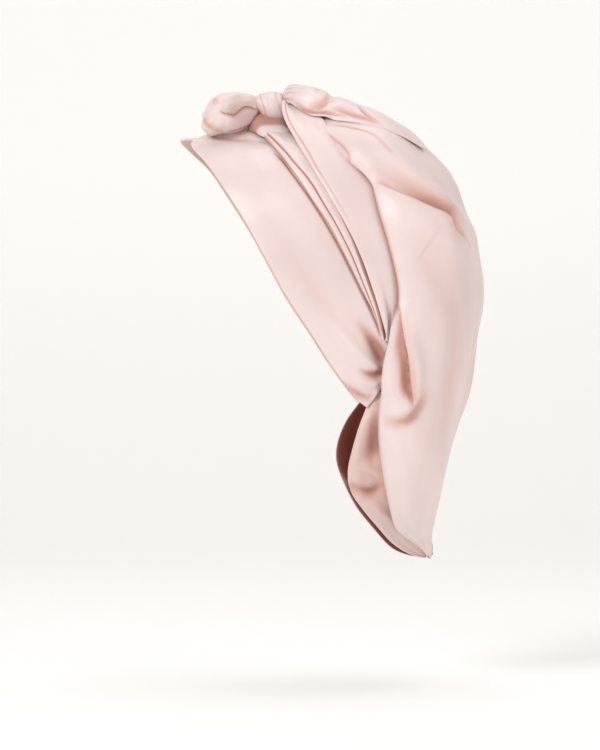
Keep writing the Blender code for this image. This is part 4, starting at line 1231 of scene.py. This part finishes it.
class BONNET_OT_rear_loop(bpy.types.Operator):
    """Makes the bow's rear loop, spread over the crown"""

    bl_idname = "bonnet.rear_loop"
    bl_label = "Rear Loop"

    def execute(self, context):
        wall = bonnet().wall
        coarse_rows, coarse_columns = BAG_COARSE_GRID
        top = even_rows(BAG_ROWS, coarse_rows)[: coarse_rows // 2]
        under = [bag_patch(top, np.linspace(-1, 1, coarse_columns))]
        under += [layers(side)["strap_outer"] for side in ("left", "right")]
        coarse = rest_on(drape_patch() - np.array([0, 0, wall]), under, PETAL_GAP)
        inner = redrawn(coarse, *PETAL_GRID)
        outer = inner + normals_of(inner) * wall
        run = np.linspace(0, 1, PETAL_GRID[0])[:, None]
        gathers = np.sin(np.linspace(0, 2 * math.pi, PETAL_GRID[1])[None, :] * 9 + 3 * run)
        outer = outer + normals_of(outer) * (0.0006 * gathers * bell(run / 0.11))[..., None]
        base = normals_of(outer)
        outer, shade = folded(outer, laid(outer, PETAL_FOLDS))
        # Painted shade in the gathers near the knot.
        shade = np.clip(shade + 0.5 * np.clip(-gathers, 0, 1) * bell(run / 0.09), 0, 1)
        piece = cloth(
            "rear_petal", outer, outer - base * wall, shade,
            node="rear_loop", material=satin("rear_loop_satin"),
        )
        return {"FINISHED"}


class BONNET_OT_front_loop(bpy.types.Operator):
    """Makes the bow's front loop, a rolled strap turned back on itself"""

    bl_idname = "bonnet.front_loop"
    bl_label = "Front Loop"

    def execute(self, context):
        sizes = bonnet()
        contour = np.array(LOOP_OUTLINE + LOOP_OUTLINE[:1])
        contour = catmull(contour, evenly(contour[:, None], LOOP_GRID[1] + 1))[:-1]
        outline = place(contour[:, 0], contour[:, 1], 0.0)
        middle = place(*LOOP_MIDDLE)
        turn = np.linspace(-1, 1, LOOP_GRID[0])[:, None] * math.radians(88.5)
        swell = np.cos(turn) ** 0.62
        flat = (outline - outline.mean(0))[None] * swell[..., None] + (outline.mean(0) * [1, 0, 1])
        toward_knot = ease((flat[..., 0] - middle[0]) / 0.024)
        deep = sizes.loop_half_width * (1 - 0.5 * toward_knot)
        sideways = -np.sin(turn) * deep
        rings = flat + np.stack([0 * sideways, middle[1] + sideways, 0 * sideways], axis=-1)
        rings[..., 1] = rings[..., 1] * (1 - 0.35 * toward_knot)
        closed = np.concatenate([rings, rings[:, :1]], axis=1)
        closed, shade = folded(closed, laid(closed, LOOP_FOLDS))
        rings, shade = closed[:, :-1], shade[:, :-1]
        piece = tube("front_bow", rings, shade, node="front_loop", material=satin("front_loop_satin"))
        return {"FINISHED"}


class BONNET_OT_knot(bpy.types.Operator):
    """Makes the knot and the cloth folded round under it"""

    bl_idname = "bonnet.knot"
    bl_label = "Knot"

    def execute(self, context):
        sizes = bonnet()
        rows, columns = KNOT_GRID
        table = even_table(KNOT_COLUMNS, KNOT_ROWS, rows)
        top = place(table["back"], table["top_down"], 0.0)[:, None]
        bottom = place(table["back"], table["bottom_down"], 0.0)[:, None]
        half = (top[..., 2] - bottom[..., 2]) / 2
        turn = np.linspace(0, 2 * math.pi, columns, endpoint=False)[None, :]
        slant = np.linspace(-1, 1, rows)[:, None] + 0.16 * np.sin(turn)
        ridges = 0.010 * np.sin(slant * 9 + 0.4) + 0.008 * np.sin(slant * 15 + 2.2)
        ridges = ridges + 0.004 * np.sin(slant * 31)
        size = 1 + ridges * np.sin(np.linspace(0, math.pi, rows))[:, None] ** 0.5
        y = np.cos(turn) * size * sizes.knot_width / 2 * (half / half.max()) ** 0.5
        z = (top[..., 2] + bottom[..., 2]) / 2 + np.sin(turn) * half * size
        x = top[..., 0] + 0.0012 * np.sin(2 * turn) * half / half.max()
        # Painted shade: in the dents between the ridges, towards both ends, and on the underside.
        shade = np.clip(-ridges / 0.06, 0, 0.3) + 0.3 * ease((np.abs(slant) - 0.72) / 0.3)
        shade = np.clip(shade + 0.4 * ease((-np.sin(turn) - 0.5) / 0.5), 0, 1)
        rings = np.stack(np.broadcast_arrays(x, y, z), axis=-1)
        shade = np.broadcast_to(shade, rings.shape[:2])
        piece = tube("tie_knot", rings, shade, node="knot", material=satin("knot_satin"))

        rows, columns = KNOT_BASE_GRID
        table = even_table(KNOT_BASE_COLUMNS, KNOT_BASE_ROWS, columns)
        across = np.linspace(-1, 1, rows)[:, None]
        back = table["back"] + across * table["half_long"]
        rounded = np.sqrt(np.clip(1 - across**4, 0, 1))
        top = table["under_down"] + (table["top_down"] - table["under_down"]) * rounded
        outer = place(back, top, table["out"])
        inner = place(back, table["under_down"] + 0 * across, table["out"])
        # Painted shadow on the cloth right under the knot.
        shade = 0.85 * (1 - ease((np.abs(table["out"]) - 0.168) / 0.045)) + 0 * across
        piece = cloth(
            "knot_underlay", outer, inner, shade,
            node="knot_base", material=satin("knot_base_satin"),
        )
        return {"FINISHED"}


class BONNET_OT_stage(bpy.types.Operator):
    """Makes the pale floor with its backdrop, the soft lights and the camera"""

    bl_idname = "bonnet.stage"
    bl_label = "Stage"

    def execute(self, context):
        # The floor, a quarter round of half a metre, and the wall behind, as seen from the side
        floor, bend, radius = -0.400, 1.6, 0.5
        curve = [
            (bend + radius * math.sin(a), floor + radius * (1 - math.cos(a)))
            for a in np.linspace(0, math.pi / 2, 25)[1:]
        ]
        profile = np.array([(-3.0, floor), (bend, floor)] + curve + [(bend + radius, 4.0)])
        across = np.array([-6.0, 0.0, 6.0])[:, None]
        grid = np.stack(np.broadcast_arrays(across, profile[:, 0], profile[:, 1]), axis=-1)
        number = np.arange(3 * len(profile)).reshape(3, -1)
        mesh = bpy.data.meshes.new("backdrop")
        mesh.from_pydata(grid.reshape(-1, 3).tolist(), [], quads(number).tolist())
        mesh.shade_smooth()
        paper = bpy.data.materials.new("backdrop_paper")
        paper.use_nodes = True
        shader = paper.node_tree.nodes["Principled BSDF"]
        shader.inputs["Base Color"].default_value = (0.835, 0.84, 0.825, 1)
        shader.inputs["Roughness"].default_value = 0.7
        shader.inputs["Emission Color"].default_value = (1.0, 0.985, 0.955, 1)
        shader.inputs["Emission Strength"].default_value = 0.20
        mesh.materials.append(paper)
        backdrop = bpy.data.objects.new("backdrop", mesh)
        context.scene.collection.objects.link(backdrop)

        for name, spot, target, wide, power, colour in (
            ("key", (-1.5, -1.9, 1.3), (0.05, 0, -0.1), 1.2, 42, (1.0, 0.995, 0.99)),
            ("fill", (2.2, -1.6, 0.4), (0.05, 0, -0.15), 1.8, 18, (1.0, 0.895, 0.87)),
            ("top", (0.2, 0.3, 2.0), (0.05, 0, -0.1), 1.4, 13, (1.0, 0.99, 0.98)),
        ):
            data = bpy.data.lights.new(name, "AREA")
            data.size, data.energy, data.color = wide, power, colour
            light = bpy.data.objects.new(name, data)
            light.location = spot
            direction = np.array(spot) - np.array(target)
            yaw = math.atan2(direction[1], direction[0]) + math.pi / 2
            pitch = math.atan2(np.hypot(direction[0], direction[1]), direction[2])
            light.rotation_euler = (pitch, 0, yaw)
            context.scene.collection.objects.link(light)

        world = bpy.data.worlds.new("studio")
        world.use_nodes = True
        world.node_tree.nodes["Background"].inputs["Color"].default_value = (1.0, 0.94, 0.92, 1)
        world.node_tree.nodes["Background"].inputs["Strength"].default_value = 0.38
        context.scene.world = world
        context.scene.view_settings.view_transform = "Standard"

        data = bpy.data.cameras.new("camera")
        data.lens, data.sensor_width = 146.7, 36
        data.clip_start, data.clip_end = 0.1, 30
        camera = bpy.data.objects.new("camera", data)
        camera.location = (0, -2.2, -0.17928)
        camera.rotation_euler = (math.pi / 2, 0, 0)
        context.scene.collection.objects.link(camera)
        context.scene.camera = camera
        return {"FINISHED"}


STEPS = (
    BONNET_OT_bands, BONNET_OT_pleats, BONNET_OT_straps, BONNET_OT_nape_panel, BONNET_OT_bag,
    BONNET_OT_rear_loop, BONNET_OT_front_loop, BONNET_OT_knot, BONNET_OT_stage,
)


class BONNET_PT_panel(bpy.types.Panel):
    """Lists the bonnet's sizes, its satin and its pieces"""

    bl_idname = "BONNET_PT_panel"
    bl_label = "Sleep Bonnet"
    bl_space_type = "VIEW_3D"
    bl_region_type = "UI"
    bl_category = "Bonnet"

    def draw(self, context):
        for group in (context.scene.bonnet_sizes, context.scene.bonnet_satin):
            for name in group.__annotations__:
                self.layout.prop(group, name)
        for step in STEPS:
            self.layout.operator(step.bl_idname)


CLASSES = (BonnetSizes, BonnetSatin) + STEPS + (BONNET_PT_panel,)


def register():
    for cls in CLASSES:
        bpy.utils.register_class(cls)
    bpy.types.Scene.bonnet_sizes = bpy.props.PointerProperty(type=BonnetSizes)
    bpy.types.Scene.bonnet_satin = bpy.props.PointerProperty(type=BonnetSatin)


def unregister():
    del bpy.types.Scene.bonnet_satin
    del bpy.types.Scene.bonnet_sizes
    for cls in reversed(CLASSES):
        bpy.utils.unregister_class(cls)


def main():
    register()
    bpy.ops.bonnet.bands()
    bpy.ops.bonnet.pleats()
    bpy.ops.bonnet.straps()
    bpy.ops.bonnet.nape_panel()
    bpy.ops.bonnet.bag()
    bpy.ops.bonnet.rear_loop()
    bpy.ops.bonnet.front_loop()
    bpy.ops.bonnet.knot()
    bpy.ops.bonnet.stage()


if __name__ == "__main__":
    main()
